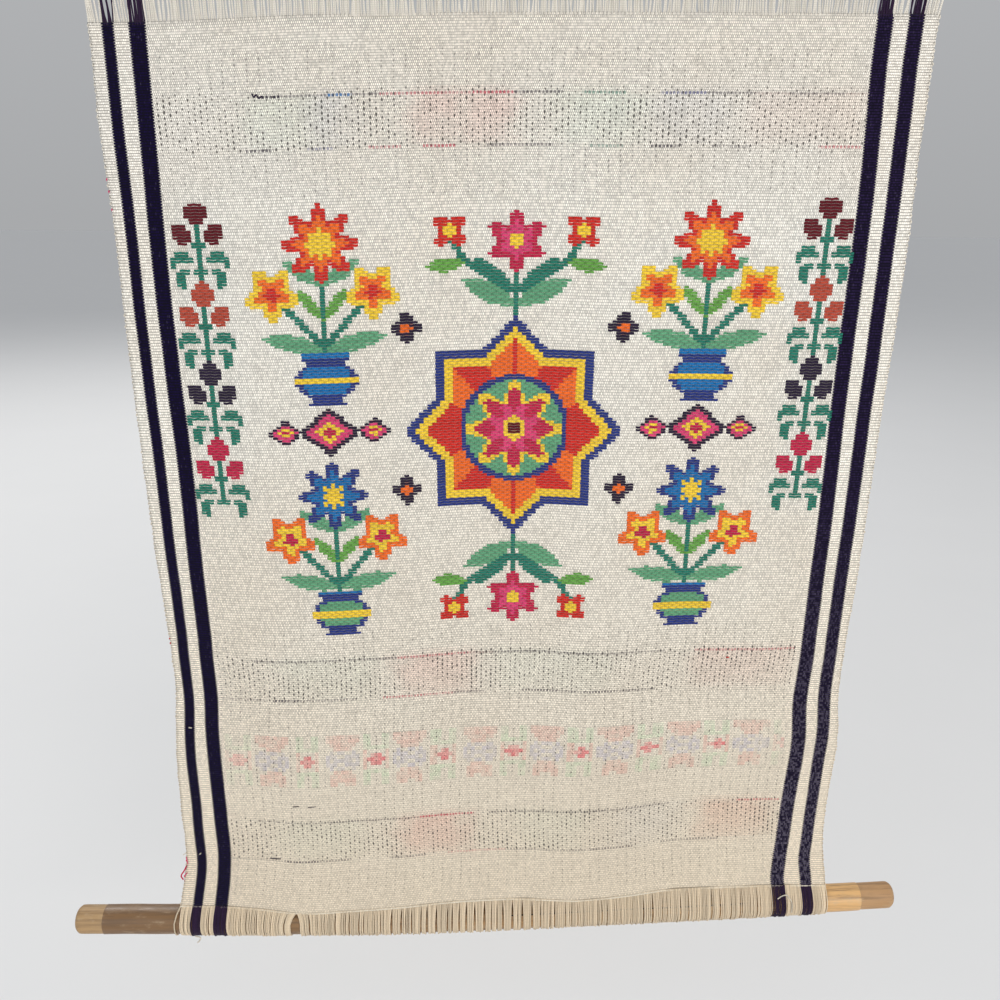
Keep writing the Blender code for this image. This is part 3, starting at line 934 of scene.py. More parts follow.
def ground_tints():
    """Colour that multiplies the ground in each cell, and how open the weave is in it."""
    rng = np.random.default_rng(21)
    tint = np.ones((ROWS, COLUMNS, 3))
    rows = np.arange(ROWS) + 0.5
    for first, last, stretches in BANDS:
        for row in range(first, last):
            for cell in range(CENTRE_CELLS):
                letter, strength = band_letter(stretches, cell + rng.uniform(-3.5, 3.5))
                strength *= rng.uniform(0.5, 1.5) * (1.25 - 0.6 * (row - first) / (last - first))
                colour = np.array(YARN_COLOURS[letter])
                colour = colour / colour.max()
                tint[row, FIRST_CELL + cell] = 1 - strength * (1 - colour)
    for _ in range(3):
        tint[:, 1:-1] = (tint[:, :-2] + 2 * tint[:, 1:-1] + tint[:, 2:]) / 4
        tint[1:-1] = (tint[:-2] + 6 * tint[1:-1] + tint[2:]) / 8
    for (row, cell), letter in REPEAT_CELLS.items():
        colour = np.array(YARN_COLOURS[letter])
        colour = 0.15 + 0.85 * colour / colour.max()
        near_end = min(cell - REPEAT_SPAN[0], REPEAT_SPAN[1] - cell)
        strength = (0.18 + 0.08 * rng.uniform(-1, 1)) * min(1.0, 0.35 + near_end / 16)
        if letter == "C":
            strength *= 3.0
        tint[row, FIRST_CELL + cell] = 1 - strength * (1 - colour)
    cells = np.arange(COLUMNS) - FIRST_CELL
    first, last = SPRIG_PICKS[0][0] / 2, SPRIG_PICKS[-1][0] / 2 + 14
    along = smooth_step(first - 4, first + 6, rows) * (1 - smooth_step(last - 6, last + 4, rows))
    for middle in SPRIG_CELLS:
        beside = np.exp(-(((cells - middle) / 7.0) ** 2))
        share = along[:, None, None] * beside[None, :, None]
        tint *= 1 + share * (np.array(SPRIG_GROUND) - 1)
    for cells in (PANEL_CELLS, SPRIG_CELLS_LIT):
        for (pick, cell), letter in cells.items():
            other = cells.get((pick ^ 1, cell))
            colour = (np.array(YARN_COLOURS[letter]) + np.array(YARN_COLOURS[other or letter])) / 2
            share = 0.85 if other else 0.12
            tint[pick // 2, FIRST_CELL + cell] = 0.06 + 0.94 * mixed_tint(colour, share)
    opened = np.zeros((ROWS + 1, COLUMNS + 1))
    lines = np.arange(ROWS + 1)
    for first, last, strength in THIN_ROWS:
        inside = (lines >= first - 0.5) & (lines <= last + 0.5)
        opened[inside, FIRST_CELL:COLUMNS - FIRST_CELL + 1] = np.maximum(
            opened[inside, FIRST_CELL:COLUMNS - FIRST_CELL + 1], strength
        )
    for (row, cell) in REPEAT_CELLS:
        opened[row:row + 2, FIRST_CELL + cell:FIRST_CELL + cell + 2] = 0.50
    return tint, opened


def mixed_tint(colour, share):
    """White mixed with a colour, to multiply the ground by."""
    return 1 - share * (1 - colour)


def make_ground(material):
    """The web as one closed thin sheet with a map of its columns and rows."""
    lines = (ROWS + 1, COLUMNS + 1)
    half = np.array((0.0, WEB_THICKNESS / 2, 0.0))
    points = np.concatenate([(lattice - half).reshape(-1, 3), (lattice + half).reshape(-1, 3)])
    number = np.arange(lines[0] * lines[1]).reshape(lines)
    back = number + number.size
    front_faces = np.stack([
        number[:-1, :-1], number[1:, :-1], number[1:, 1:], number[:-1, 1:],
    ], -1).reshape(-1, 4)
    back_faces = np.stack([
        back[:-1, :-1], back[:-1, 1:], back[1:, 1:], back[1:, :-1],
    ], -1).reshape(-1, 4)
    rim = np.concatenate([number[0, :], number[1:, -1], number[-1, -2::-1], number[-2:0:-1, 0]])
    after = np.roll(rim, -1)
    rim_faces = np.stack([rim, after, after + number.size, rim + number.size], -1)
    piece = add_piece("web", points, np.concatenate([front_faces, back_faces, rim_faces]), [material])

    corners = corner_points(piece)
    row, column = np.divmod(corners % number.size, lines[1])
    set_map(piece, "Weave", np.stack([column, row], -1))
    on_back = corners >= number.size
    on_back[4 * len(front_faces):4 * (len(front_faces) + len(back_faces))] = True
    flat_across = (points[corners, 0] + 0.2345) / 0.96 + 0.5 * on_back
    flat_up = (points[corners, 2] + 0.608) / 0.600
    set_map(piece, "OFBake", np.stack([flat_across, flat_up], -1))

    tint, opened = ground_tints()
    face_tints = np.concatenate([tint.reshape(-1, 3), tint.reshape(-1, 3), np.ones((len(rim_faces), 3))])
    set_colours(piece, "tint", np.repeat(face_tints, 4, 0), "CORNER")
    set_values(piece, "open", np.tile(opened.ravel(), 2))

    # Signed distance into a stripe, in mm
    guides = stripe_borders(lattice[:, :, 2])
    inward = np.full(lines, -9.0)
    for low, high in ((1, 2), (3, 4), (5, 6), (7, 8)):
        here = np.minimum(lattice[:, :, 0] - guides[low], guides[high] - lattice[:, :, 0])
        inward = np.maximum(inward, here * 1000)
    set_values(piece, "stripe", np.tile(inward.ravel(), 2))
    return piece


# Brocade yarns that float on the web


def runs_of(cells):
    """Runs of one letter along each pick: pick, first cell, past-last cell, letter."""
    runs = []
    for pick, cell in sorted(cells):
        letter = cells[pick, cell]
        if runs and runs[-1][0] == pick and runs[-1][2] == cell and runs[-1][3] == letter:
            runs[-1][2] = cell + 1
        else:
            runs.append([pick, cell, cell + 1, letter])
    return runs


def make_floats(name, cells, side, material, seed):
    """One yarn for each run of a pick, as a half-round float that dives in at both ends.

    side is -1 for the face and 1 for the back.
    """
    rng = np.random.default_rng(seed)
    points, faces, colours, maps = [], [], [], []
    count = 0
    profile = ((-0.50, -0.30), (-0.27, 1.0), (0.27, 1.0), (0.50, -0.30))
    # Painted shade along the float's sides: its outer corners, where it meets the web, are darker
    edge = np.array([0.72, 1.0, 1.0, 0.72])
    across_it = np.array([0.0, 0.17, 0.33, 0.5])
    for pick, first, last, letter in runs_of(cells):
        base = np.array(YARN_COLOURS[letter])
        inner = np.arange(first * 2 + 1, last * 2) / 2.0
        start, end = rng.uniform(-0.06, 0.06, 2) + (first - FLOAT_OVERHANG, last + FLOAT_OVERHANG)
        stations = np.concatenate([[start + 0.02, start + 0.16], inner, [end - 0.16, end - 0.02]])
        phase = np.mod(stations + pick + (0.5 if side > 0 else 0.0), 2.0)
        tie = np.exp(-((np.minimum(phase, 2.0 - phase) / 0.32) ** 2))
        height = FLOAT_HEIGHT * rng.uniform(0.88, 1.1) - TIE_DEPTH * tie
        height[0] = height[-1] = -0.0001
        wave = FLOAT_WAVE * np.cos(np.pi * (stations + 0.5)) + rng.uniform(-0.010, 0.010)
        middle = (pick + 0.5) / 2 + wave
        ring = []
        for aside, lift in profile:
            spot = place(FIRST_CELL + stations, middle + aside * FLOAT_WIDTH)
            out = WEB_THICKNESS / 2 + np.where(lift > 0, height, -0.00008)
            spot[:, 1] += side * out
            ring.append(spot)
        ring = np.stack(ring, 1)
        total = len(stations)
        # Random tone for each float, with painted shade where it dips under a tie and at both ends where it
        # dives in
        shade = rng.uniform(0.90, 1.10) * (1 - 0.42 * tie)
        shade[0] = shade[-1] = 0.7
        colours.append((base * (shade[:, None, None] * edge[None, :, None])).reshape(-1, 3))
        maps.append(np.stack([np.tile(across_it, total), np.repeat(stations * CELL_WIDTH, 4)], -1))
        points.append(ring.reshape(-1, 3))
        step = count + 4 * np.arange(total - 1)[:, None] + np.arange(3)[None, :]
        quad = np.stack([step, step + 1, step + 5, step + 4], -1).reshape(-1, 4)
        faces.append(quad if side < 0 else quad[:, ::-1])
        count += 4 * total
    points = np.concatenate(points)
    piece = add_piece(name, points, np.concatenate(faces), [material])
    corners = corner_points(piece)
    set_map(piece, "Weave", np.concatenate(maps)[corners])
    low, high = points.min(0), points.max(0)
    flat = (points[corners][:, (0, 2)] - low[[0, 2]]) / (high - low)[[0, 2]]
    set_map(piece, "OFBake", 0.01 + 0.98 * flat)
    set_colours(piece, "yarn", np.concatenate(colours), "POINT")
    return piece


# Round yarns


UPRIGHT = (np.array((1.0, 0.0, 0.0)), 6)  # guide and sides of yarns that lie about in a YZ plane
ANY_WAY = (np.array((0.31, 0.42, 0.85)), 5)  # the same for yarns that run anyhow


def make_yarns(name, paths, radius, colours, material, kind, end_size=1.0):
    """Tubes along paths, an array of yarns by points by 3.

    kind holds a guide, which is a direction that no path runs in, and the number of sides.
    """
    guide, sides = kind
    yarns, steps = paths.shape[:2]
    tangent = np.gradient(paths, axis=1)
    tangent /= np.maximum(np.linalg.norm(tangent, axis=2, keepdims=True), 1e-9)
    aside = guide - tangent * (tangent @ guide)[:, :, None]
    aside /= np.linalg.norm(aside, axis=2, keepdims=True)
    out = np.cross(tangent, aside)
    sizes = np.repeat(np.array(radius, float)[:, None], steps, 1)
    sizes[:, -1] *= end_size
    angles = 2 * np.pi * np.arange(sides) / sides
    around = np.cos(angles)[:, None] * aside[:, :, None] + np.sin(angles)[:, None] * out[:, :, None]
    points = (paths[:, :, None] + sizes[:, :, None, None] * around).reshape(-1, 3)
    number = np.arange(len(points)).reshape(yarns, steps, sides)
    after = np.roll(number, -1, axis=2)
    faces = np.stack([number[:, :-1], after[:, :-1], after[:, 1:], number[:, 1:]], -1).reshape(-1, 4)
    piece = add_piece(name, points, faces, [material])
    corners = corner_points(piece)
    spans = np.linalg.norm(np.diff(paths, axis=1, prepend=paths[:, :1]), axis=2)
    lengths = np.cumsum(spans, axis=1) * 1000
    turns = np.broadcast_to(np.arange(sides) / sides, number.shape)
    along = np.broadcast_to(lengths[:, :, None], number.shape)
    set_map(piece, "Weave", np.stack([turns.ravel()[corners], along.ravel()[corners]], -1))
    set_colours(piece, "yarn", np.repeat(np.asarray(colours), steps * sides, 0), "POINT")
    return piece


def warp_places(part):
    """Place across of every warp yarn at a part of the way down, and whether it is dark."""
    across, depth, height = lie_of_web([part], [2 * count for count in YARNS_IN_BAND])
    across, depth, height = across[0, 1::2], depth[0, 1::2], height[0, 1::2]
    borders = stripe_borders(height)
    dark = sum((across > borders[low]) & (across < borders[low + 1]) for low in (1, 3, 5, 7)) > 0
    return across, depth, height, dark


def yarn_colours(dark, rng, cream, spread):
    colours = np.where(dark[:, None], np.array((0.020, 0.008, 0.030)), np.array(cream))
    return colours * rng.uniform(1 - spread, 1 + spread, (len(dark), 1))


def bunched(across, rng, pitch, pull):
    """Yarns drawn together in uneven bunches, which leaves gaps between them."""
    starts = [across[0] - pitch]
    while starts[-1] < across[-1] + pitch:
        starts.append(starts[-1] + pitch * rng.uniform(0.5, 1.6))
    starts = np.array(starts)
    index = np.searchsorted(starts, across) - 1
    middle = (starts[index] + starts[index + 1]) / 2
    return across + (middle - across) * pull


SLIT_PLACE = 0.0005  # a gap in the free warp at the top
SLIT_HALF = 0.0009


def make_top_yarns(material):
    """Free warp above the weave, fanned and bunched a little, cut level."""
    rng = np.random.default_rng(31)
    across, depth, height, dark = warp_places(0.0)
    steps = 8
    rise = np.linspace(0.0, 1.0, steps)
    fan = 0.004 * (across / 0.23) ** 5
    ends = np.where(dark, across, bunched(across, rng, 0.0062, 0.20)) + fan
    ends = ends + rng.normal(0, 0.00045, len(ends))
    aside = across - SLIT_PLACE
    ends = ends + SLIT_HALF * np.sign(aside) * np.exp(-(aside / 0.003) ** 2)
    sway = rng.normal(0, 0.0005, (len(ends), 1))
    sway = sway * np.sin(np.pi * rise * rng.uniform(0.8, 1.8, (len(ends), 1)))
    x = across[:, None] + (ends - across)[:, None] * rise ** 1.3 + sway
    layer = np.where(np.arange(len(ends)) % 2 == 0, -0.00022, 0.00022)
    y = depth[:, None] + layer[:, None] * (1 - rise) + rng.normal(0, 0.0005, (len(ends), 1)) * rise
    cut = -np.abs(rng.normal(0, 0.0011, len(ends)))
    cut[::9] = 0.0
    root = height - 0.0016
    z = root[:, None] + (cut - root)[:, None] * rise
    paths = np.stack([x, y, z], -1)
    colours = yarn_colours(dark, rng, (0.640, 0.605, 0.540), 0.10)
    radius = YARN_RADIUS * rng.uniform(0.85, 1.15, len(ends))
    return make_yarns("top_warp", paths, radius, colours, material, UPRIGHT, end_size=0.15)


def rod_radius(along):
    part = np.clip((along - BARK_LEFT) / (BARK_RIGHT - BARK_LEFT), 0.0, 1.0)
    return ROD_RADIUS_LEFT + part * (ROD_RADIUS_RIGHT - ROD_RADIUS_LEFT)


LOOP_GAP_PLACE = -0.1484  # the one wide gap between the loops
LOOP_GAP_HALF = 0.0030
STRAY_LOOP = 0.0029  # how far the outermost loop on the left has slid out


def make_loop_yarns(material):
    """Warp from the foot of the weave, down over the rod's front, round it and back."""
    rng = np.random.default_rng(41)
    across, depth, height, dark = warp_places(1.0)
    count = len(across)
    pull = 0.08 + 0.18 * smooth_step(-0.095, -0.070, across) * (1 - smooth_step(0.020, 0.045, across))
    spread_out = across * 1.006
    on_rod = np.where(dark, spread_out, bunched(spread_out, rng, 0.0050, pull))
    on_rod = on_rod + rng.normal(0, 0.00012, count)
    aside = across - LOOP_GAP_PLACE
    on_rod = on_rod + LOOP_GAP_HALF * np.sign(aside) * np.exp(-(aside / 0.012) ** 2)
    on_rod[0] -= STRAY_LOOP
    axis_y = np.full(count, ROD_BEHIND)
    axis_z = eased(ROD_LINE, on_rod)
    lift = np.where(rng.random(count) < 0.22, LOOP_RADIUS * 0.9, 0.0)
    reach = rod_radius(on_rod) + LOOP_RADIUS * 0.95 + lift
    root_y, root_z = depth, height + 0.0012
    out, up = root_y - axis_y, root_z - axis_z
    away = np.maximum(np.hypot(out, up), reach * 1.002)
    middle = np.arctan2(up, out)
    start = middle + np.arccos(reach / away)
    finish = middle - np.arccos(reach / away) + 2 * np.pi
    turns = 17
    part = np.linspace(0.0, 1.0, turns)
    angle = start[:, None] + (finish - start)[:, None] * part
    y = axis_y[:, None] + reach[:, None] * np.cos(angle)
    z = axis_z[:, None] + reach[:, None] * np.sin(angle)
    drift = rng.normal(0, 0.0006, count)
    x = on_rod[:, None] + drift[:, None] * (part - 0.25)
    half = WEB_THICKNESS / 4

    def straight(end_y, end_z, end_x, side):
        mid_y = 0.5 * (root_y + side * half + end_y)
        return (
            np.stack([across, root_y + side * half, root_z], -1),
            np.stack([0.35 * across + 0.65 * end_x, mid_y, 0.5 * (root_z + end_z)], -1),
        )

    front_root, front_mid = straight(y[:, 0], z[:, 0], x[:, 0], -1)
    back_root, back_mid = straight(y[:, -1], z[:, -1], x[:, -1], 1)
    wrap = np.stack([x, y, z], -1)
    paths = np.concatenate([
        front_root[:, None], front_mid[:, None], wrap, back_mid[:, None], back_root[:, None],
    ], 1)
    colours = yarn_colours(dark, rng, (0.645, 0.535, 0.390), 0.18)
    radius = LOOP_RADIUS * rng.uniform(0.80, 1.12, count)
    return make_yarns("loop_warp", paths, radius, colours, material, UPRIGHT)


def make_selvedge_turns(material):
    """Each pick turns back round the outermost warp."""
    rng = np.random.default_rng(51)
    picks = int(ROWS * GROUND_PICKS / 2)
    paths, colours, radii = [], [], []
    accents = {24: "P", 26: "P", 29: "P", 110: "R", 111: "R", 162: "R", 164: "C", 166: "R", 167: "C"}
    for column, side in ((0.0, -1), (float(COLUMNS), 1)):
        for number in range(picks):
            row = (number + 0.5) * 2 / GROUND_PICKS
            middle = place(column, row)
            reach = 0.00040 + abs(rng.normal(0, 0.00022))
            half = 0.48 / GROUND_PICKS
            angles = np.linspace(-np.pi / 2, np.pi / 2, 7)
            height_step = place(column, row + half)[2] - middle[2]
            x = middle[0] + side * (reach * np.cos(angles) - 0.0006)
            y = middle[1] + WEB_THICKNESS * 0.55 * np.sin(angles)
            z = middle[2] + height_step * np.sin(angles) * 0.9
            paths.append(np.stack([x, y, z], -1))
            # Yellower towards the foot, the same painted warm light as on the web
            base = mixed((0.660, 0.620, 0.540), (0.670, 0.560, 0.420), row / ROWS)
            if side < 0 and number in accents:
                base = YARN_COLOURS[accents[number]]
            colours.append(np.array(base) * rng.uniform(0.9, 1.08))
            radii.append(YARN_RADIUS * rng.uniform(0.8, 1.25))
    return make_yarns("selvedge_turns", np.array(paths), radii, colours, material, ANY_WAY)


# Loose ends, knots and specks: colour, radius in mm, and places across and up on the face
ON_THE_FACE = (
    ("K", 0.45, (
        (-0.1450, -0.0677), (-0.1440, -0.0695), (-0.1426, -0.0682), (-0.1416, -0.0699),
        (-0.1395, -0.0689),
    )),
    ("K", 0.28, ((-0.1465, -0.5191), (-0.1424, -0.5188))),
    ("K", 0.28, ((-0.1363, -0.5195), (-0.1308, -0.5190))),
    ("K", 0.30, ((-0.1646, -0.5599), (-0.1598, -0.5603), (-0.1570, -0.5605))),
    ("R", 0.35, ((0.1430, -0.4080), (0.1450, -0.4081))),
    ("W", 0.40, ((-0.2123, -0.4582), (-0.2103, -0.4586))),
    ("W", 0.35, ((-0.2240, -0.5563), (-0.2221, -0.5548))),
    ("W", 0.35, ((-0.2127, -0.5560), (-0.2117, -0.5550))),
    ("P", 0.30, ((-0.2221, -0.5579), (-0.2214, -0.5640))),
    ("C", 0.50, ((-0.2224, -0.5653), (-0.2245, -0.5694), (-0.2269, -0.5735), (-0.2258, -0.5768))),
    ("P", 0.35, ((-0.2224, -0.5711), (-0.2250, -0.5737))),
)
# The same for threads off the face: places across, along Y and up
OFF_THE_FACE = (
    ("W", 0.42, ((0.1930, -0.0040, -0.5946), (0.1962, -0.0034, -0.5926), (0.1995, -0.0030, -0.5919))),
    ("W", 0.38, ((0.1995, -0.0030, -0.5919), (0.2031, -0.0048, -0.5969), (0.2032, -0.0064, -0.6044))),
    ("W", 0.50, ((-0.2208, -0.0030, -0.6230), (-0.2178, -0.0014, -0.6259), (-0.2186, -0.0010, -0.6285),
                 (-0.2203, -0.0010, -0.6304))),
)
ROD_SHADE_THREAD = (0.0005, 0.1725)  # ends of a near-black thread on the rod under the loops, which is painted shade for the gaps between the loops
ROD_SHADE_THREAD_TURN = 35  # degrees above the front of the rod
THREAD_STEPS = 24


def make_threads(material):
    """Loose threads, each an eased line through its places, a yarn along the foot, and a near-black thread
    on the rod that is painted shade between the loops.
    """

    def run(places):
        """The same number of points along any line."""
        places = np.array(places)
        at = np.linspace(0, len(places) - 1, THREAD_STEPS)
        return np.stack([eased(list(enumerate(column)), at) for column in places.T], -1)

    paths, sizes, colours = [], [], []
    for letter, radius, places in ON_THE_FACE:
        flat = run(places)
        depth = face_depth(flat[:, 0], flat[:, 1]) - WEB_THICKNESS / 2 - 0.0003
        paths.append(np.stack([flat[:, 0], depth, flat[:, 1]], -1))
        sizes.append(radius / 1000)
        colours.append(YARN_COLOURS[letter])
    for letter, radius, places in OFF_THE_FACE:
        paths.append(run(places))
        sizes.append(radius / 1000)
        colours.append(YARN_COLOURS[letter])

    # Painted shade between the loops: a near-black thread on the rod's front, under them
    turn = math.radians(ROD_SHADE_THREAD_TURN)
    across = np.linspace(*ROD_SHADE_THREAD, THREAD_STEPS)
    reach = rod_radius(across)
    up = eased(ROD_LINE, across) + reach * math.sin(turn)
    paths.append(np.stack([across, ROD_BEHIND - reach * math.cos(turn), up], -1))
    sizes.append(0.00045)
    colours.append((0.010, 0.008, 0.012))

    header = place(np.linspace(0, COLUMNS, THREAD_STEPS), ROWS - 0.12)
    header[:, 1] -= WEB_THICKNESS / 2
    paths.append(header)
    sizes.append(0.00050)
    colours.append((0.700, 0.640, 0.530))
    return make_yarns("loose_threads", np.array(paths), sizes, colours, material, ANY_WAY)


# Rod


def wood_material(name, roughness, stops, streak, specks):
    n = Nodes(name, roughness)
    place_along = n.new("ShaderNodeSeparateXYZ")
    n.put(place_along.inputs[0], n.new("ShaderNodeTexCoord").outputs["Object"])
    along = n.math("MULTIPLY_ADD", place_along.outputs[0], 1.0 / 0.586, 0.5239)
    base = n.ramp(along, stops).outputs[0]
    long_grain = n.noise(n.scaled_place(14.0, 420.0, 420.0), 1.0, 5.0, 0.6)
    fine_grain = n.noise(n.scaled_place(60.0, 1500.0, 1500.0), 1.0, 3.0, 0.6)
    mottle = n.noise(n.scaled_place(70.0, 160.0, 160.0), 1.0, 4.0, 0.65)
    base = n.mix(n.between(long_grain, 0.42, 0.68, 0.0, streak), base, (0.100, 0.058, 0.030))
    base = n.mix(n.between(mottle, 0.50, 0.72, 0.0, 0.45), base, (0.520, 0.400, 0.260))
    base = n.mix(n.between(fine_grain, 0.56, 0.74, 0.0, specks), base, (0.060, 0.034, 0.020))
    n.put(n.shader.inputs["Base Color"], base)
    n.put(n.shader.inputs["Roughness"], n.between(mottle, 0.3, 0.7, roughness - 0.10, roughness + 0.12))
    n.bump(n.add(long_grain, n.times(fine_grain, 0.5)), 0.00035, 0.5)
    return n.material


def make_rod(materials):
    """The stick at a finer step than its solid: bark with shallow fissures, bare cut ends."""
    rng = np.random.default_rng(61)
    left, right = ROD_LINE[0][0], ROD_LINE[-1][0]
    bare, bark, end_grain = 0, 1, 2
    stations = [
        (left, BARE_RADIUS_LEFT * END_FACE_PART, bare),
        (left + 0.0008, BARE_RADIUS_LEFT * 0.88, bare),
        (left + END_CHAMFER, BARE_RADIUS_LEFT * 0.985, bare),
    ]
    for along in np.linspace(left + END_CHAMFER + 0.002, BARK_LEFT - BARK_STEP, 8):
        stations.append((along, BARE_RADIUS_LEFT, bare))
    for along in np.linspace(BARK_LEFT, BARK_RIGHT, 240):
        stations.append((along, float(rod_radius(along)), bark))
    for along in np.linspace(BARK_RIGHT + BARK_STEP, right - END_CHAMFER - 0.002, 8):
        stations.append((along, BARE_RADIUS_RIGHT, bare))
    stations += [
        (right - END_CHAMFER, BARE_RADIUS_RIGHT * 0.985, bare),
        (right - 0.0008, BARE_RADIUS_RIGHT * 0.88, bare),
        (right, BARE_RADIUS_RIGHT * END_FACE_PART, bare),
    ]
    sides = 56
    angles = 2 * np.pi * np.arange(sides) / sides
    along = np.array([row[0] for row in stations])
    radius = np.array([row[1] for row in stations])
    kinds = np.array([row[2] for row in stations])
    dents = np.zeros((len(stations), sides))
    for _ in range(150):
        spot, turn = rng.uniform(BARK_LEFT, BARK_RIGHT), rng.uniform(0, 2 * np.pi)
        length, width = rng.uniform(0.004, 0.022), rng.uniform(0.10, 0.22)
        swing = np.abs(np.angle(np.exp(1j * (angles - turn))))
        dents -= 0.00016 * np.exp(-((along[:, None] - spot) / length) ** 2 - (swing[None, :] / width) ** 2)
    uneven = 0.00010 * np.sin(along[:, None] * 140 + 2 * np.cos(angles)[None, :]) * (kinds[:, None] == bark)
    reach = radius[:, None] + dents * (kinds[:, None] == bark) + uneven - 0.0001
    height = eased(ROD_LINE, along)
    points = np.stack([
        np.broadcast_to(along[:, None], reach.shape),
        ROD_BEHIND + reach * np.cos(angles),
        height[:, None] + reach * np.sin(angles),
    ], -1).reshape(-1, 3)
    number = np.arange(len(points)).reshape(len(stations), sides)
    after = np.roll(number, -1, 1)
    skin = np.stack([number[:-1], after[:-1], after[1:], number[1:]], -1).reshape(-1, 4)
    faces = skin.tolist()
    kind_of = np.repeat(np.minimum(kinds[:-1], kinds[1:]), sides).tolist()
    extra = []
    for ring, x, spin in ((number[0], left, -1), (number[-1], right, 1)):
        middle_z = float(eased(ROD_LINE, x))
        previous = ring
        for share in (0.66, 0.33):
            start = len(points) + len(extra)
            for index in ring:
                spot = points[index]
                extra.append((
                    x,
                    ROD_BEHIND + (spot[1] - ROD_BEHIND) * share,
                    middle_z + (spot[2] - middle_z) * share,
                ))
            current = np.arange(start, start + sides)
            quads = np.stack([previous, np.roll(previous, -1), np.roll(current, -1), current], -1)
            faces += (quads if spin < 0 else quads[:, ::-1]).tolist()
            kind_of += [end_grain] * sides
            previous = current
        extra.append((x, ROD_BEHIND, middle_z))
        centre = len(points) + len(extra) - 1
        for low, high in zip(previous, np.roll(previous, -1)):
            faces.append([int(low), int(high), centre] if spin < 0 else [int(high), int(low), centre])
            kind_of.append(end_grain)
    all_points = np.concatenate([points, np.array(extra)])
    mesh = bpy.data.meshes.new("stick")
    mesh.from_pydata(all_points.tolist(), [], faces)
    for material in materials:
        mesh.materials.append(material)
    mesh.polygons.foreach_set("material_index", kind_of)
    mesh.polygons.foreach_set("use_smooth", [True] * len(mesh.polygons))
    piece = bpy.data.objects.new("stick", mesh)
    bpy.context.scene.collection.objects.link(piece)
    mesh.set_sharp_from_angle(angle=math.radians(40))
    return piece


# Camera, stage and light


def make_camera():
    camera = bpy.data.objects.new("Camera", bpy.data.cameras.new("Camera"))
    camera.data.lens = CAMERA_LENS
    camera.data.sensor_width = CAMERA_SENSOR
    camera.data.clip_start = 0.01
    turn = (
        Matrix.Rotation(math.radians(CAMERA_YAW), 4, "Z")
        @ Matrix.Rotation(math.radians(CAMERA_PITCH), 4, "X")
        @ Matrix.Rotation(math.radians(CAMERA_ROLL), 4, "Y")
        @ Matrix.Rotation(math.pi / 2, 4, "X")
    )
    camera.matrix_world = Matrix.Translation(CAMERA_PLACE) @ turn
    bpy.context.scene.collection.objects.link(camera)
    bpy.context.scene.camera = camera


def make_stage():
    size, height = 40.0, -0.72
    points = [(-size, -size, height), (size, -size, height), (size, size, height), (-size, size, height)]
    n = Nodes("floor_paint", 0.8)
    grain = n.noise(n.scaled_place(6.0, 6.0, 6.0), 1.0, 3.0)
    n.put(n.shader.inputs["Base Color"], n.mix(grain, (0.74, 0.745, 0.75), (0.76, 0.765, 0.77)))
    floor = add_piece("floor", points, [(0, 1, 2, 3)], [n.material], smooth=False)


def add_light(name, place_at, aim, size, power, colour):
    data = bpy.data.lights.new(name, "AREA")
    data.shape = "DISK"
    data.size = size
    data.energy = power
    data.color = colour
    light = bpy.data.objects.new(name, data)
    bpy.context.scene.collection.objects.link(light)
    light.location = place_at
    direction = np.array(aim) - np.array(place_at)
    light.rotation_euler = Vector(direction).to_track_quat("-Z", "Y").to_euler()


def make_light():
    world = bpy.data.worlds.new("World")
    bpy.context.scene.world = world
    world.use_nodes = True
    tree = world.node_tree
    background = tree.nodes["Background"]
    background.inputs["Strength"].default_value = 1.0
    direction = tree.nodes.new("ShaderNodeTexCoord")
    parts = tree.nodes.new("ShaderNodeSeparateXYZ")
    sky = tree.nodes.new("ShaderNodeValToRGB")
    sky.color_ramp.elements[0].position = 0.0
    sky.color_ramp.elements[0].color = (0.395, 0.402, 0.412, 1.0)
    sky.color_ramp.elements[1].position = 0.6
    sky.color_ramp.elements[1].color = (0.520, 0.530, 0.545, 1.0)
    tree.links.new(direction.outputs["Generated"], parts.inputs[0])
    tree.links.new(parts.outputs[2], sky.inputs[0])
    tree.links.new(sky.outputs[0], background.inputs["Color"])
    middle = (0.0, 0.0, -0.32)
    add_light("Key", (1.15, -2.25, 0.10), middle, 1.3, 34.0, (1.0, 0.965, 0.92))
    add_light("Fill", (-1.50, -1.80, 0.00), middle, 1.6, 11.0, (0.90, 0.95, 1.0))
    add_light("Back", (-1.30, 2.20, 2.60), middle, 2.0, 70.0, (1.0, 0.98, 0.95))
    bpy.context.scene.view_settings.view_transform = "Standard"


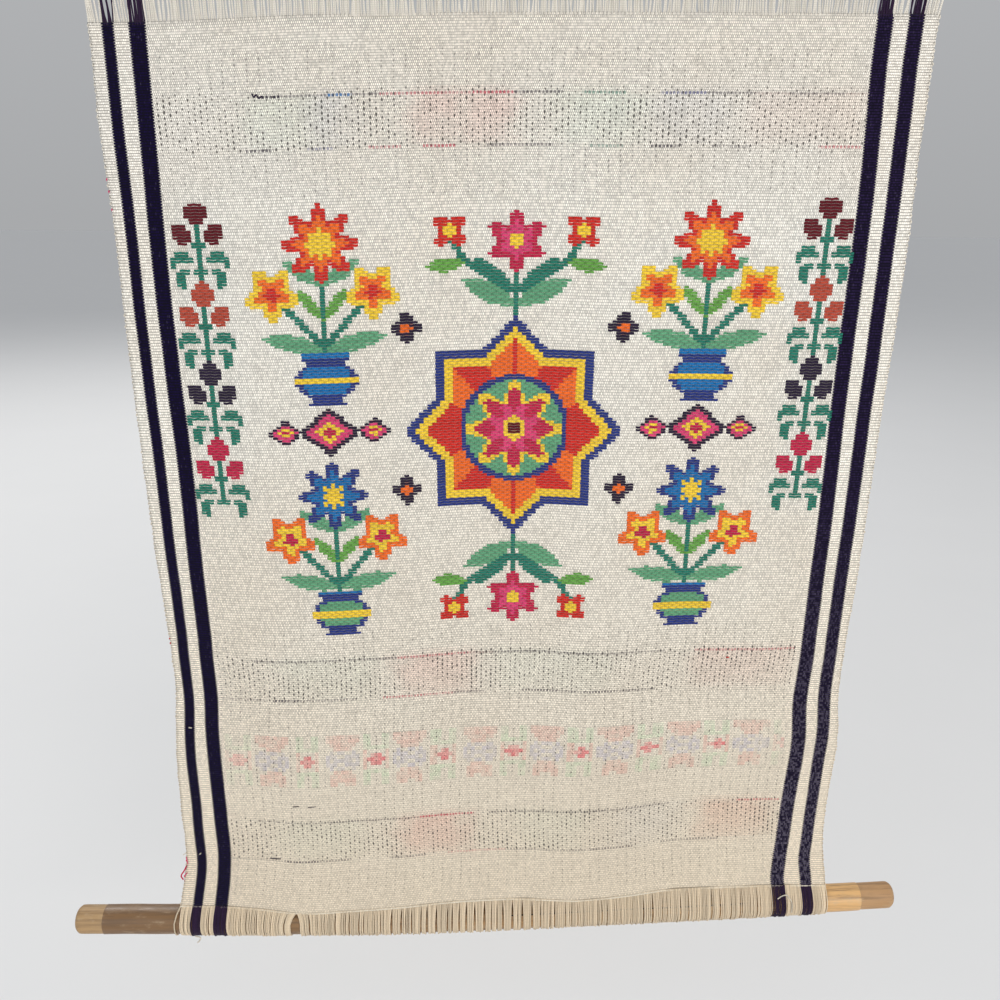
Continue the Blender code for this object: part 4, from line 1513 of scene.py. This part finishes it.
def main():
    make_camera()
    make_stage()
    make_light()
    ground = ground_material()
    brocade_yarn = yarn_material("brocade_yarn", 0.80, 1.4, 0.08)
    warp_yarn = yarn_material("warp_yarn", 0.85, 1.1, 0.08)

    web = make_ground(ground)
    back_cells = dict(REPEAT_CELLS)
    for first, last, stretches in BANDS:
        for row in range(first, last):
            for cell in range(3, CENTRE_CELLS - 3):
                letter = band_letter(stretches, cell)[0]
                if letter != "W":
                    back_cells[row, cell] = letter
    back_cells = in_picks(back_cells)
    woven = [
        make_floats("brocade_face", PANEL_CELLS, -1, brocade_yarn, 71),
        make_floats("sprigs_face", SPRIG_CELLS_LIT, -1, brocade_yarn, 72),
        make_floats("brocade_reverse", PANEL_CELLS, 1, brocade_yarn, 73),
        make_floats("sprigs_reverse", SPRIG_CELLS_LIT, 1, brocade_yarn, 74),
        make_floats("bands_reverse", back_cells, 1, brocade_yarn, 75),
        make_selvedge_turns(warp_yarn),
        make_threads(warp_yarn),
    ]
    top = make_top_yarns(warp_yarn)
    loops = make_loop_yarns(warp_yarn)
    bare = wood_material("bare_wood", 0.62, (
        (0.0, (0.400, 0.250, 0.115)),
        (0.04, (0.420, 0.270, 0.130)),
        (0.90, (0.480, 0.290, 0.140)),
        (1.0, (0.420, 0.240, 0.110)),
    ), 0.45, 0.35)
    bark = wood_material("bark", 0.40, (
        (0.0, (0.189, 0.102, 0.042)),
        (0.20, (0.207, 0.113, 0.047)),
        (0.60, (0.430, 0.257, 0.112)),
        (0.90, (0.684, 0.409, 0.171)),
        (1.0, (0.684, 0.409, 0.171)),
    ), 0.60, 0.45)
    end_grain = wood_material("end_grain", 0.75, (
        (0.0, (0.330, 0.210, 0.110)),
        (1.0, (0.260, 0.150, 0.075)),
    ), 0.6, 0.5)
    stick = make_rod((bare, bark, end_grain))

    for piece in (web, top, loops, stick, *woven):
        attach(piece, "root")
    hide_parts("cloth")
    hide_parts("top_warp_ends")
    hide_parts("bottom_warp_loops")
    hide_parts("rod")


main()
bpy.context.view_layer.update()
